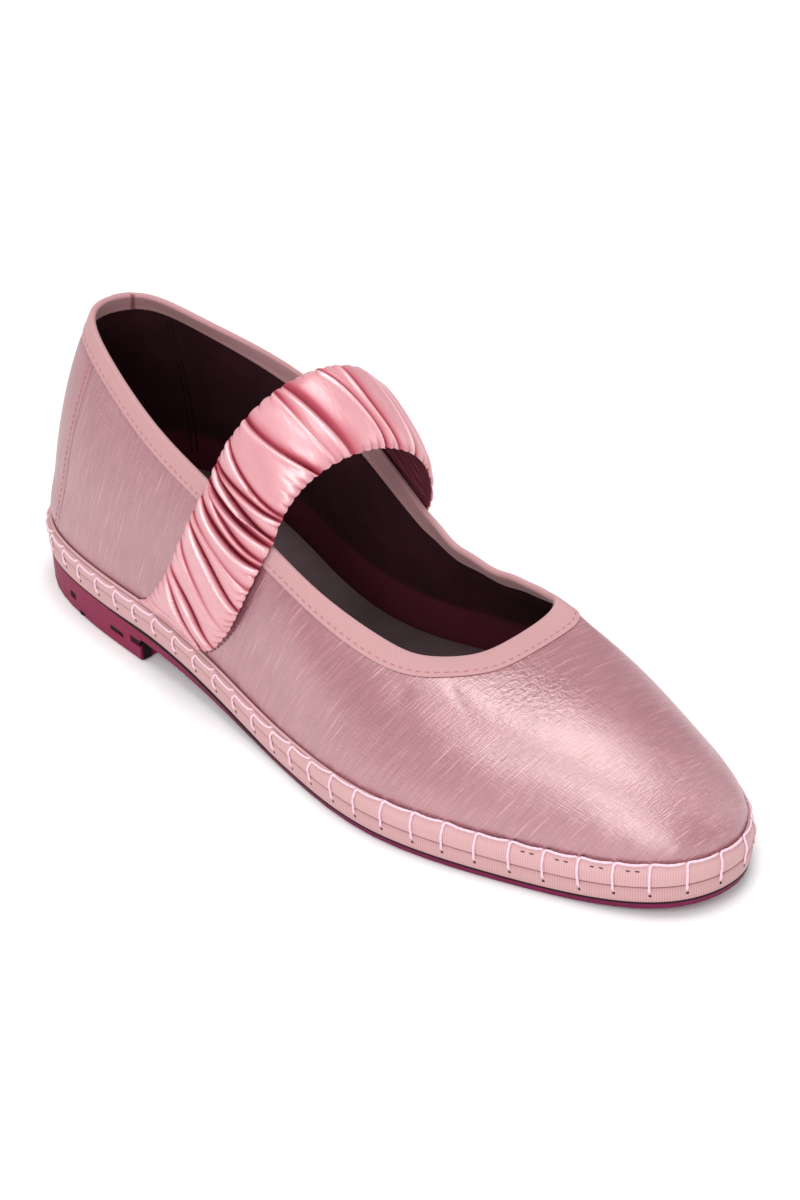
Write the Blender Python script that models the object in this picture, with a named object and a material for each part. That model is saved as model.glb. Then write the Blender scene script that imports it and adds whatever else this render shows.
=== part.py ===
# Right-foot flat shoe: low slip-on with a bound topline, a sewn rand and a gathered instep strap.
# Frame: toe along -Y, heel along +Y, inner side +X, outer side -X, floor at Z = 0.
# All sizes are in millimetres; "along" runs from the heel towards the toe, "across" is + inwards.
# A loop position runs round the sole's edge: 0 at the heel, 0.5 at the toe, 1 back at the heel.

import math
from collections import namedtuple

import bmesh
import bpy
import numpy as np

MM = 0.001
GAP = 0.3

# Sole heights
HEEL_TOP = 11.2
FOREFOOT_THICKNESS = 2.4
SHANK_THICKNESS = 4.2
BREAST_ALONG = 60.0
BREAST_RUN = 0.6
SHANK_END = 128.0
SPRING_START = 204.0
TOE_SPRING = 3.6
OUTSOLE_INSET = 0.3
HEEL_TAPER = 0.2
EDGE_ROUND = 0.5

# Wrapped midsole and the rand sewn round the foot of the upper
MIDSOLE_HEIGHT = 4.4
RAND_HEIGHT = 6.0
RAND_THICKNESS = 2.3
RAND_LEAN = 0.9
RAND_SWELL = 0.35
RAND_SWELL_UP = 2.7
RAND_SHOULDER_IN = 0.54
RAND_SHOULDER_DOWN = 0.8

# Upper and insole
WALL = 1.7
SWELL_GAIN = 1.8
INSOLE_THICKNESS = 3.5
INSOLE_CLEARANCE = 0.9

# Binding and counter, lying on the upper
OVERLAY_GAP = 0.4
BINDING_LEAF = 0.7
BINDING_WIDTH = 5.8
BINDING_WIDTH_INSIDE = 4.8
BINDING_THROAT_EXTRA = 1.5
BINDING_WIDENS_FROM = 115.0
BINDING_WIDENS_BY = 40.0
BINDING_MIDDLE = 0.45
BINDING_FOLD_SHARE = 0.3
COUNTER_THICKNESS = 0.7
COUNTER_FOOT_ALONG = 15.0
COUNTER_TOP_ALONG = 24.0

# Strap
STRAP_THICKNESS = 3.0
STRAP_EDGE_THINNING = 1.05
STRAP_EDGE_POWER = 4
STRAP_FOLD_PITCH = 9.5
STRAP_FOLD_HEIGHT = 0.7
STRAP_FOLD_SLANT = 4.0
STRAP_FRILL = 0.8
STRAP_PAST_TOPLINE = 2.5
STRAP_SWEEP = 0.6
STRAP_LIFTED_BY = 0.7
STRAP_START_ANGLE = math.radians(12.0)
STRAP_ARCH_POWER = 0.82
STRAP_CROWN_ACROSS = 1.2

# Mesh fineness, counts of points or steps
OUTLINE_SAMPLES = 2000
WALL_SAMPLES = 61
EDGE_STEPS = 84
HEEL_STATIONS = 14
FORE_STATIONS = 30
WALL_STEPS = 6
WALL_STEP_POWER = 1.15
COUNTER_ROWS = 7
COUNTER_COLUMNS = 15
STRAP_STEPS = 96
STRAP_WIDTH_STEPS = 5
STRAP_CLIMB_POINTS = 14
STRAP_ARCH_POINTS = 41
SHARP_ANGLE = math.radians(35.0)

# Steps over which directions are taken: loop position in plan and on the wall, millimetres up the wall
PLAN_STEP = 0.002
WALL_STEP = 0.004
REACH_STEP = 1.0

# Outline of the midsole seen from above, heel centre round the outer side to the toe and back
Corner = namedtuple("Corner", "place across along")
OUTLINE = (
    Corner("heel back", 2.0, -3.0),
    Corner("heel corner, outer", -21.0, 3.5),
    Corner("heel side, outer", -32.4, 31.0),
    Corner("waist, outer", -36.0, 84.0),
    Corner("fore waist, outer", -40.6, 124.0),
    Corner("ball, outer", -44.1, 164.5),
    Corner("little toe", -30.8, 209.5),
    Corner("toe corner, outer", -13.3, 241.5),
    Corner("toe tip", 4.7, 247.0),
    Corner("toe corner, inner", 21.1, 235.0),
    Corner("big toe", 35.6, 199.0),
    Corner("ball, inner", 39.7, 165.0),
    Corner("fore waist, inner", 27.8, 125.5),
    Corner("waist, inner", 22.1, 91.0),
    Corner("heel side, inner", 31.8, 32.0),
    Corner("heel corner, inner", 23.5, 4.5),
)

# One row for each section of the upper, from its foot on the sole to its topline.
# run_power and rise_power set how round the wall is, swell how far it bulges past its foot.
OUTER, INNER = -1, 1
Section = namedtuple("Section", "side foot_along top_across top_along top_height run_power rise_power swell")
SECTIONS = (
    Section(OUTER, -3.0, 1.0, 12.0, 83.4, 1.00, 1.9, -0.4),
    Section(OUTER, 6.0, -9.4, 16.8, 83.6, 1.00, 1.9, -0.4),
    Section(OUTER, 30.0, -16.5, 32.0, 79.0, 1.00, 2.0, 0.0),
    Section(OUTER, 55.0, -21.5, 56.0, 70.0, 1.00, 2.1, 0.0),
    Section(OUTER, 80.0, -24.5, 80.0, 64.2, 1.00, 2.2, 0.0),
    Section(OUTER, 110.0, -26.5, 107.0, 57.2, 1.05, 2.2, 0.0),
    Section(OUTER, 140.0, -26.8, 131.0, 50.0, 1.15, 2.2, 0.0),
    Section(OUTER, 168.0, -24.8, 152.0, 45.4, 1.25, 2.2, 0.0),
    Section(OUTER, 200.0, -20.5, 164.5, 44.2, 1.35, 2.3, 0.0),
    Section(OUTER, 228.0, -11.5, 171.8, 44.2, 1.30, 2.2, 0.0),
    Section(OUTER, 247.2, 0.0, 173.5, 44.5, 1.25, 2.1, 0.0),
    Section(INNER, 232.0, 11.6, 172.5, 44.3, 1.18, 1.9, 0.0),
    Section(INNER, 214.0, 18.0, 170.6, 45.0, 1.12, 1.65, 0.0),
    Section(INNER, 200.0, 20.0, 166.6, 45.2, 1.08, 1.55, 0.0),
    Section(INNER, 168.0, 20.8, 154.0, 44.2, 0.90, 1.8, 0.0),
    Section(INNER, 140.0, 19.5, 136.0, 45.0, 0.84, 2.0, 0.0),
    Section(INNER, 115.0, 22.0, 117.0, 49.8, 0.85, 2.2, 0.0),
    Section(INNER, 85.0, 27.5, 88.0, 59.5, 0.90, 2.2, 0.0),
    Section(INNER, 55.0, 27.0, 55.5, 69.0, 1.00, 2.1, 0.0),
    Section(INNER, 30.0, 19.0, 32.5, 76.6, 1.00, 2.0, 0.0),
    Section(INNER, 6.0, 12.5, 17.0, 81.2, 1.00, 1.9, -0.4),
)

# Edges of the strap: section it starts from at the rand, section it leaves the topline on, its crown
StrapEdge = namedtuple("StrapEdge", "foot_along top_along crown_along crown_height")
STRAP_BACK = StrapEdge(59.0, 86.0, 97.5, 92.0)
STRAP_FRONT = StrapEdge(86.5, 116.5, 120.0, 78.0)

# Recesses moulded into each side of the heel block; the last opens at the breast, under the shank
Recess = namedtuple("Recess", "along length middle_height height depth")
RECESSES = (
    Recess(25.5, 3.2, 4.8, 2.2, 4.0),
    Recess(30.5, 3.0, 0.6, 2.4, 5.0),
    Recess(49.0, 6.4, 4.6, 1.6, 4.0),
    Recess(58.6, 6.0, 5.7, 2.2, 5.0),
)

# Colour and roughness of each node
Finish = namedtuple("Finish", "colour roughness")
FINISHES = {
    "outsole": Finish((0.21, 0.02, 0.08), 0.55),
    "midsole": Finish((0.68, 0.41, 0.42), 0.8),
    "rand": Finish((0.71, 0.43, 0.44), 0.8),
    "insole": Finish((0.05, 0.03, 0.03), 0.9),
    "upper": Finish((0.52, 0.25, 0.29), 0.45),
    "collar_binding": Finish((0.74, 0.45, 0.46), 0.8),
    "heel_counter": Finish((0.52, 0.25, 0.29), 0.45),
    "strap": Finish((0.79, 0.38, 0.40), 0.35),
}


# A closed cubic spline of period 1 through rows of values at the given knots
def closed_spline(knots, values, at):
    count = len(knots)
    spans = np.diff(np.append(knots, knots[0] + 1.0))
    slopes = (np.roll(values, -1, axis=0) - values) / spans[:, None]
    matrix = np.zeros((count, count))
    for row in range(count):
        matrix[row, row - 1] += spans[row - 1]
        matrix[row, row] += 2.0 * (spans[row - 1] + spans[row])
        matrix[row, (row + 1) % count] += spans[row]
    bend = np.linalg.solve(matrix, 6.0 * (slopes - np.roll(slopes, 1, axis=0)))
    wrapped = np.mod(np.asarray(at, dtype=float) - knots[0], 1.0) + knots[0]
    row = np.clip(np.searchsorted(knots, wrapped, side="right") - 1, 0, count - 1)
    after = (row + 1) % count
    span = spans[row][:, None]
    late = (wrapped - knots[row])[:, None] / span
    early = 1.0 - late
    curve = (early ** 3 - early) * bend[row] + (late ** 3 - late) * bend[after]
    return early * values[row] + late * values[after] + curve * span ** 2 / 6.0


def smooth_step(value):
    value = np.clip(value, 0.0, 1.0)
    return value * value * (3.0 - 2.0 * value)


# Length along a row of points, starting at zero
def path_length(points):
    steps = np.linalg.norm(np.diff(points, axis=0), axis=1)
    return np.concatenate(([0.0], np.cumsum(steps)))


# The outline as a dense closed loop of (across, along), from its rearmost point round the outer side
def dense_outline():
    rows = np.array([(corner.across, corner.along) for corner in OUTLINE])
    chords = np.sqrt(np.linalg.norm(np.roll(rows, -1, axis=0) - rows, axis=1))
    knots = np.concatenate(([0.0], np.cumsum(chords)[:-1])) / chords.sum()
    loop = closed_spline(knots, rows, np.linspace(0.0, 1.0, OUTLINE_SAMPLES, endpoint=False))
    return np.roll(loop, -int(loop[:, 1].argmin()), axis=0)


OUTLINE_LOOP = dense_outline()
TOE_INDEX = int(OUTLINE_LOOP[:, 1].argmax())
HEEL_ALONG = OUTLINE_LOOP[:, 1].min()
TOE_ALONG = OUTLINE_LOOP[:, 1].max()
MIDDLE_ALONG = (HEEL_ALONG + TOE_ALONG) / 2.0
MIDDLE_ACROSS = (OUTLINE_LOOP[:, 0].min() + OUTLINE_LOOP[:, 0].max()) / 2.0


# Outward direction in plan at each point of a closed loop that runs with the outer side first
def plan_outward(loop):
    tangent = np.roll(loop, -1, axis=0) - np.roll(loop, 1, axis=0)
    tangent /= np.linalg.norm(tangent, axis=1)[:, None]
    return np.stack((-tangent[:, 1], tangent[:, 0]), axis=1)


# The dense outline moved inwards by a distance
def inset_outline(inset):
    return OUTLINE_LOOP - plan_outward(OUTLINE_LOOP) * inset


# Split a dense loop at the toe into its outer and inner sides, both from heel to toe
def sides_of(loop):
    outer = loop[:TOE_INDEX + 1]
    inner = np.vstack((loop[TOE_INDEX:], loop[:1]))[::-1]
    return outer, inner


# Share of each side's length, 0 at the heel to 1 at the toe, at a place along the shoe
def side_share(side, along):
    line = sides_of(OUTLINE_LOOP)[0 if side == OUTER else 1]
    length = path_length(line)
    return np.interp(along, line[:, 1], length / length[-1])


# Loop position of a place on one side
def loop_position(side, along):
    share = side_share(side, along) / 2.0
    return share if side == OUTER else 1.0 - share


# Points of an inset outline at loop positions
def edge_points(inset, positions):
    outer, inner = sides_of(inset_outline(inset))
    positions = np.mod(positions, 1.0)
    share = np.where(positions <= 0.5, positions, 1.0 - positions) * 2.0
    points = np.empty((len(positions), 2))
    for line, chosen in ((outer, positions <= 0.5), (inner, positions > 0.5)):
        length = path_length(line)
        for axis in (0, 1):
            points[chosen, axis] = np.interp(share[chosen], length / length[-1], line[:, axis])
    return points


# How far a place along has come down the shank: 1 at the heel's breast, 0 at the forefoot
def shank_share(along):
    return smooth_step((SHANK_END - along) / (SHANK_END - BREAST_ALONG))


# Height of the top of the outsole
def keel(along):
    spring = np.clip((along - SPRING_START) / (TOE_ALONG - SPRING_START), 0.0, None) ** 2
    return FOREFOOT_THICKNESS + (HEEL_TOP - FOREFOOT_THICKNESS) * shank_share(along) + TOE_SPRING * spring


# Height of the outsole's underside: heel and forefoot on the floor, arch and toe clear of it
def underside(along):
    thickness = FOREFOOT_THICKNESS + (SHANK_THICKNESS - FOREFOOT_THICKNESS) * shank_share(along)
    return np.where(along <= BREAST_ALONG, 0.0, np.maximum(keel(along) - thickness, 0.0))


MIDSOLE_BASE = GAP
RAND_BASE = MIDSOLE_BASE + MIDSOLE_HEIGHT + GAP
RAND_TOP = RAND_BASE + RAND_HEIGHT
UPPER_INSET = RAND_THICKNESS + GAP
LOOP_POSITIONS = np.arange(EDGE_STEPS) / EDGE_STEPS


# Section sizes at loop positions by a closed spline: columns are those of Section from top_across on
def sections_at(positions):
    knots = np.array([loop_position(section.side, section.foot_along) for section in SECTIONS])
    return closed_spline(knots, np.array([section[2:] for section in SECTIONS]), positions)


# Fine points up the outer face of the upper at loop positions, with the length up to each
def wall_lines(positions):
    positions = np.atleast_1d(positions)
    foot = edge_points(UPPER_INSET, positions)
    ahead, behind = positions + PLAN_STEP, positions - PLAN_STEP
    tangent = edge_points(UPPER_INSET, ahead) - edge_points(UPPER_INSET, behind)
    tangent /= np.linalg.norm(tangent, axis=1)[:, None]
    outward = np.stack((-tangent[:, 1], tangent[:, 0]), axis=1)
    sizes = sections_at(positions)
    top, height = sizes[:, 0:2], sizes[:, 2]
    run_power, rise_power, swell = sizes[:, 3:4], sizes[:, 4:5], sizes[:, 5:6]
    angle = np.linspace(0.0, math.pi / 2.0, WALL_SAMPLES)[None, :]
    rise = np.sin(angle) ** (2.0 / rise_power)
    run = 1.0 - np.maximum(np.cos(angle), 0.0) ** (2.0 / run_power)
    bulge = swell * SWELL_GAIN * np.sin(math.pi * np.minimum(rise, 1.0)) * (1.0 - rise)
    base = keel(foot[:, 1]) + RAND_TOP
    plan = foot[:, None, :] + (top - foot)[:, None, :] * run[:, :, None]
    plan = plan + outward[:, None, :] * bulge[:, :, None]
    level = base[:, None] + (height - base)[:, None] * rise
    lines = np.concatenate((plan, level[:, :, None]), axis=2)
    steps = np.linalg.norm(np.diff(lines, axis=1), axis=2)
    lengths = np.concatenate((np.zeros((len(lines), 1)), np.cumsum(steps, axis=1)), axis=1)
    return lines, lengths


# Points on the outer face at loop positions; reach is the length up from the foot, one per position
def wall_points(positions, reach):
    lines, lengths = wall_lines(positions)
    points = np.empty((len(lines), 3))
    for row in range(len(lines)):
        for axis in range(3):
            points[row, axis] = np.interp(reach[row], lengths[row], lines[row, :, axis])
        past = reach[row] - lengths[row, -1]
        if past > 0.0:
            end = lines[row, -1] - lines[row, -4]
            points[row] += end / np.linalg.norm(end) * past
    return points


def wall_length(positions):
    return wall_lines(positions)[1][:, -1]


# Points at a share of the wall's length
def wall_share(positions, share):
    return wall_points(positions, share * wall_length(positions))


# Outward direction of the outer face, from neighbouring points round and up the wall
def wall_outward(positions, reach):
    length = wall_length(positions)
    low = np.clip(reach - REACH_STEP, 0.0, length - 2.0 * REACH_STEP)
    up = wall_points(positions, low + 2.0 * REACH_STEP) - wall_points(positions, low)
    share = np.clip(reach / length, 0.0, 1.0)
    around = wall_share(positions + WALL_STEP, share) - wall_share(positions - WALL_STEP, share)
    normal = np.cross(up, around)
    return normal / np.linalg.norm(normal, axis=1)[:, None]


# Points of the wall moved out by an offset
def wall_offset(positions, reach, offset):
    return wall_points(positions, reach) + wall_outward(positions, reach) * np.reshape(offset, (-1, 1))


# Width of the binding's outer leaf, broader round the throat than round the heel
def binding_width(positions):
    top_along = sections_at(positions)[:, 1]
    throat = smooth_step((top_along - BINDING_WIDENS_FROM) / BINDING_WIDENS_BY)
    return BINDING_WIDTH + BINDING_THROAT_EXTRA * throat


# Shoe coordinates in millimetres to the part's frame in metres
def to_frame(points):
    across, along, height = np.asarray(points, dtype=float).T
    return np.stack((across - MIDDLE_ACROSS, MIDDLE_ALONG - along, height), axis=1) * MM


# A mesh from shoe coordinates and faces, with its faces turned outwards
def make_mesh(name, points, faces):
    mesh = bpy.data.meshes.new(name)
    mesh.from_pydata(to_frame(points).tolist(), [], faces)
    work = bmesh.new()
    work.from_mesh(mesh)
    bmesh.ops.recalc_face_normals(work, faces=work.faces)
    work.to_mesh(mesh)
    work.free()
    return mesh


def make_material(name):
    finish = FINISHES[name]
    material = bpy.data.materials.new(name)
    material.use_nodes = True
    shader = material.node_tree.nodes["Principled BSDF"]
    shader.inputs["Base Color"].default_value = (*finish.colour, 1.0)
    shader.inputs["Roughness"].default_value = finish.roughness
    shader.inputs["Metallic"].default_value = 0.0
    return material


def make_object(name, points, faces):
    mesh = make_mesh(name, points, faces)
    mesh.shade_smooth()
    mesh.set_sharp_from_angle(angle=SHARP_ANGLE)
    mesh.materials.append(make_material(name))
    made = bpy.data.objects.new(name, mesh)
    bpy.context.scene.collection.objects.link(made)
    return made


# Quads between neighbouring closed loops of equal count; closed also joins the last loop to the first
def loop_faces(loops, count, closed):
    faces = []
    for level in range(loops if closed else loops - 1):
        low, high = level * count, (level + 1) % loops * count
        for step in range(count):
            after = (step + 1) % count
            faces.append((low + step, low + after, high + after, high + step))
    return faces


# Strips across a closed loop whose points pair up side to side, heel at 0 and toe at half
def cap_faces(start, count):
    half = count // 2
    faces = [(start, start + 1, start + count - 1)]
    for step in range(1, half - 1):
        pair = count - step
        faces.append((start + step, start + step + 1, start + pair - 1, start + pair))
    faces.append((start + half - 1, start + half, start + half + 1))
    return faces


# A ring round the shoe from the loops of its cross-section, in order
def make_ring(name, loops):
    return make_object(name, np.vstack(loops), loop_faces(len(loops), len(loops[0]), True))


# A slab from loops stacked bottom to top
def make_slab(name, loops):
    count = len(loops[0])
    faces = loop_faces(len(loops), count, False)
    faces += cap_faces(0, count)
    faces += cap_faces((len(loops) - 1) * count, count)
    return make_object(name, np.vstack(loops), faces)


# A closed sheet from an outer and an inner grid of points, rows along it and columns across
def make_sheet(name, outer, inner):
    rows, columns = outer.shape[:2]
    offset = rows * columns
    faces = []
    for base in (0, offset):
        for row in range(rows - 1):
            for column in range(columns - 1):
                corner = base + row * columns + column
                faces.append((corner, corner + 1, corner + columns + 1, corner + columns))
    rim = list(range(columns))
    rim += [row * columns + columns - 1 for row in range(1, rows)]
    rim += [(rows - 1) * columns + column for column in range(columns - 2, -1, -1)]
    rim += [row * columns for row in range(rows - 2, 0, -1)]
    for step, corner in enumerate(rim):
        after = rim[(step + 1) % len(rim)]
        faces.append((corner, after, after + offset, corner + offset))
    return make_object(name, np.vstack((outer.reshape(-1, 3), inner.reshape(-1, 3))), faces)


# Loop of the sole's edge, inset in plan, at a height above the top of the outsole
def sole_loop(inset, above):
    edge = edge_points(inset, LOOP_POSITIONS)
    return np.column_stack((edge, keel(edge[:, 1]) + above))


# Loop of a flat layer with a pair of points at each place along, square across like the heel breast
def layer_loop(inset, height_at):
    outer, inner = sides_of(inset_outline(inset))
    heel, toe = outer[0, 1], outer[-1, 1]
    quarter = math.pi / 2.0
    back = heel + (BREAST_ALONG - heel) * (1.0 - np.cos(np.linspace(0.0, quarter, HEEL_STATIONS)))
    front = BREAST_ALONG + BREAST_RUN
    fore = front + (toe - front) * np.sin(np.linspace(0.0, quarter, FORE_STATIONS))
    along = np.concatenate((back, fore))
    outer_across = np.interp(along, outer[:, 1], outer[:, 0])
    inner_across = np.interp(along, inner[:, 1], inner[:, 0])
    across = np.concatenate((outer_across, inner_across[-2:0:-1]))
    places = np.concatenate((along, along[-2:0:-1]))
    return np.column_stack((across, places, height_at(places)))


# A box in shoe coordinates that a Boolean takes away
def make_cutter(name, low, high):
    corners = [(x, y, z) for z in (low[2], high[2]) for y in (low[1], high[1]) for x in (low[0], high[0])]
    faces = [(0, 1, 3, 2), (4, 6, 7, 5), (0, 4, 5, 1), (2, 3, 7, 6), (0, 2, 6, 4), (1, 5, 7, 3)]
    cutter = bpy.data.objects.new(name, make_mesh(name, corners, faces))
    bpy.context.scene.collection.objects.link(cutter)
    cutter.hide_render = True
    cutter.display_type = "WIRE"
    return cutter


# Rubber outsole: thin under the forefoot, arched at the shank, with the heel block moulded on
def make_outsole():
    low_inset = OUTSOLE_INSET + HEEL_TAPER
    outsole = make_slab("outsole", [
        layer_loop(low_inset + EDGE_ROUND, underside),
        layer_loop(low_inset, lambda along: underside(along) + EDGE_ROUND),
        layer_loop(OUTSOLE_INSET, keel),
    ])
    outer, inner = sides_of(inset_outline(OUTSOLE_INSET))
    for number, recess in enumerate(RECESSES):
        half_length, half_height = recess.length / 2.0, recess.height / 2.0
        for side, line in ((OUTER, outer), (INNER, inner)):
            edge = np.interp(recess.along, line[:, 1], line[:, 0])
            low = (edge - recess.depth, recess.along - half_length, recess.middle_height - half_height)
            high = (edge + recess.depth, recess.along + half_length, recess.middle_height + half_height)
            cut = outsole.modifiers.new("recess", "BOOLEAN")
            cut.operation = "DIFFERENCE"
            cut.solver = "EXACT"
            cut.object = make_cutter("recess_cutter_%d_%d" % (number, side), low, high)
    return outsole


# Loop of a flat layer at a height above the top of the outsole
def raised_loop(inset, above):
    return layer_loop(inset, lambda along: keel(along) + above)


# Midsole board wrapped in ribbed tape
def make_midsole():
    top = MIDSOLE_BASE + MIDSOLE_HEIGHT
    return make_slab("midsole", [
        raised_loop(EDGE_ROUND, MIDSOLE_BASE),
        raised_loop(0.0, MIDSOLE_BASE + EDGE_ROUND),
        raised_loop(0.0, top - EDGE_ROUND),
        raised_loop(EDGE_ROUND, top),
    ])


# Padded rand round the foot of the upper, leaning in and rounded at its top
def make_rand():
    return make_ring("rand", [
        sole_loop(EDGE_ROUND, RAND_BASE),
        sole_loop(0.0, RAND_BASE + EDGE_ROUND),
        sole_loop(-RAND_SWELL, RAND_BASE + RAND_SWELL_UP),
        sole_loop(RAND_SHOULDER_IN, RAND_TOP - RAND_SHOULDER_DOWN),
        sole_loop(RAND_LEAN + EDGE_ROUND, RAND_TOP),
        sole_loop(RAND_THICKNESS, RAND_TOP - EDGE_ROUND),
        sole_loop(RAND_THICKNESS, RAND_BASE),
    ])


# Insole lying on the midsole inside the foot of the upper
def make_insole():
    inset = UPPER_INSET + WALL + INSOLE_CLEARANCE
    top = RAND_BASE + INSOLE_THICKNESS
    return make_slab("insole", [
        raised_loop(inset, RAND_BASE),
        raised_loop(inset, top - EDGE_ROUND),
        raised_loop(inset + EDGE_ROUND, top),
    ])


# Lengths up the wall, one row of the mesh each, that end at the lower edge of the binding and the topline
def wall_levels():
    length = wall_length(LOOP_POSITIONS)
    width = binding_width(LOOP_POSITIONS)
    levels = [(length - width) * (step / WALL_STEPS) ** WALL_STEP_POWER for step in range(WALL_STEPS + 1)]
    return levels + [length - width * BINDING_MIDDLE, length]


# Hollow upper: outer face up the wall and over to the topline, inner face back down
def make_upper():
    outer = [sole_loop(UPPER_INSET, RAND_BASE)]
    inner = [sole_loop(UPPER_INSET + WALL, RAND_BASE)]
    for reach in wall_levels():
        outer.append(wall_offset(LOOP_POSITIONS, reach, 0.0))
        inner.append(wall_offset(LOOP_POSITIONS, reach, -WALL))
    return make_ring("upper", outer + inner[::-1])


# Ribbed tape folded over the topline, with a leaf on each face of the wall
def make_binding():
    length = wall_length(LOOP_POSITIONS)
    width = binding_width(LOOP_POSITIONS)
    middle = length - width * BINDING_MIDDLE
    outside_levels = [length - width, middle, length]
    inside_levels = [length - BINDING_WIDTH_INSIDE, middle, length]
    outside = OVERLAY_GAP + BINDING_LEAF
    inside = -WALL - OVERLAY_GAP
    fold = length + OVERLAY_GAP
    loops = [wall_offset(LOOP_POSITIONS, reach, outside) for reach in outside_levels]
    loops.append(wall_offset(LOOP_POSITIONS, fold + BINDING_LEAF, outside * BINDING_FOLD_SHARE))
    loops.append(wall_offset(LOOP_POSITIONS, fold + BINDING_LEAF, inside))
    loops += [wall_offset(LOOP_POSITIONS, reach, inside - BINDING_LEAF) for reach in inside_levels[::-1]]
    loops += [wall_offset(LOOP_POSITIONS, reach, inside) for reach in inside_levels[:2]]
    loops.append(wall_offset(LOOP_POSITIONS, fold, inside))
    loops.append(wall_offset(LOOP_POSITIONS, fold, OVERLAY_GAP))
    loops += [wall_offset(LOOP_POSITIONS, reach, OVERLAY_GAP) for reach in outside_levels[1::-1]]
    return make_ring("collar_binding", loops)


# Counter panel sewn round the back of the heel, between the rand and the binding
def make_counter():
    shares = np.linspace(-1.0, 1.0, COUNTER_COLUMNS)
    outer, inner = [], []
    for up in np.linspace(0.0, 1.0, COUNTER_ROWS):
        along = COUNTER_FOOT_ALONG + (COUNTER_TOP_ALONG - COUNTER_FOOT_ALONG) * up
        outer_end, inner_end = side_share(OUTER, along) / 2.0, side_share(INNER, along) / 2.0
        positions = np.where(shares < 0.0, -shares * outer_end, -shares * inner_end)
        reach = GAP + (wall_length(positions) - binding_width(positions) - GAP * 2.0) * up
        outer.append(wall_offset(positions, reach, OVERLAY_GAP + COUNTER_THICKNESS))
        inner.append(wall_offset(positions, reach, OVERLAY_GAP))
    return make_sheet("heel_counter", np.array(outer), np.array(inner))


# Inner face of the strap: one edge-to-edge row at each step from the outer rand over to the inner rand
def strap_lines(shares):
    back, front = np.array(STRAP_BACK)[:, None], np.array(STRAP_FRONT)[:, None]
    foot, top, crown_along, crown_height = back + (front - back) * shares
    walls = {}
    for side in (OUTER, INNER):
        rows = []
        for up in np.linspace(0.0, 1.0, STRAP_CLIMB_POINTS):
            positions = loop_position(side, foot + (top - foot) * up ** STRAP_SWEEP)
            reach = GAP + (wall_length(positions) - GAP + STRAP_PAST_TOPLINE) * up
            clear = GAP + (BINDING_LEAF + OVERLAY_GAP) * smooth_step(up / STRAP_LIFTED_BY)
            rows.append(wall_offset(positions, reach, np.full(len(shares), clear)))
        walls[side] = np.array(rows)
    start, end = walls[OUTER][-1], walls[INNER][-1]
    middle = (start + end) / 2.0
    low = math.sin(STRAP_START_ANGLE)
    arch = []
    for angle in np.linspace(STRAP_START_ANGLE, math.pi - STRAP_START_ANGLE, STRAP_ARCH_POINTS)[1:-1]:
        lift = ((math.sin(angle) - low) / (1.0 - low)) ** STRAP_ARCH_POWER
        row = start + (end - start) * (0.5 - 0.5 * math.cos(angle) / math.cos(STRAP_START_ANGLE))
        row[:, 0] += STRAP_CROWN_ACROSS * lift
        row[:, 1] += (crown_along - middle[:, 1]) * lift
        row[:, 2] += (crown_height - middle[:, 2]) * lift
        arch.append(row)
    return np.vstack((walls[OUTER], np.array(arch), walls[INNER][::-1]))


# Strap rows spaced evenly along its length
def strap_grid(rows, shares):
    lines = strap_lines(shares)
    grid = np.empty((rows, len(shares), 3))
    for column in range(len(shares)):
        length = path_length(lines[:, column])
        places = np.linspace(0.0, length[-1], rows)
        for axis in range(3):
            grid[:, column, axis] = np.interp(places, length, lines[:, column, axis])
    return grid


# Gathered strap: folds run across it, slanting, and frill its two edges
def make_strap():
    shares = np.linspace(0.0, 1.0, STRAP_WIDTH_STEPS + 1)
    inner = strap_grid(STRAP_STEPS + 1, shares)
    forward = np.gradient(inner, axis=0)
    sideways = np.gradient(inner, axis=1)
    normal = np.cross(forward, sideways)
    normal /= np.linalg.norm(normal, axis=2)[:, :, None]
    across = sideways / np.linalg.norm(sideways, axis=2)[:, :, None]
    length = path_length(inner[:, STRAP_WIDTH_STEPS // 2])
    phase = 2.0 * math.pi * (length[:, None] + STRAP_FOLD_SLANT * shares[None, :]) / STRAP_FOLD_PITCH
    edge = np.abs(shares * 2.0 - 1.0)[None, :] ** STRAP_EDGE_POWER
    thickness = STRAP_THICKNESS + STRAP_FOLD_HEIGHT * np.cos(phase) - STRAP_EDGE_THINNING * edge
    frill = np.sign(shares - 0.5)[None, :] * edge * STRAP_FRILL * np.sin(phase)
    outer = inner + normal * thickness[:, :, None] + across * frill[:, :, None]
    return make_sheet("strap", outer, inner)


def clear_scene():
    for old in list(bpy.data.objects):
        bpy.data.objects.remove(old, do_unlink=True)


def main():
    clear_scene()
    make_outsole()
    make_midsole()
    make_rand()
    make_insole()
    make_upper()
    make_binding()
    make_counter()
    make_strap()


main()
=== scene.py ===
import math

import bpy
import numpy as np
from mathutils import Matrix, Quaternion, Vector


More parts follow.
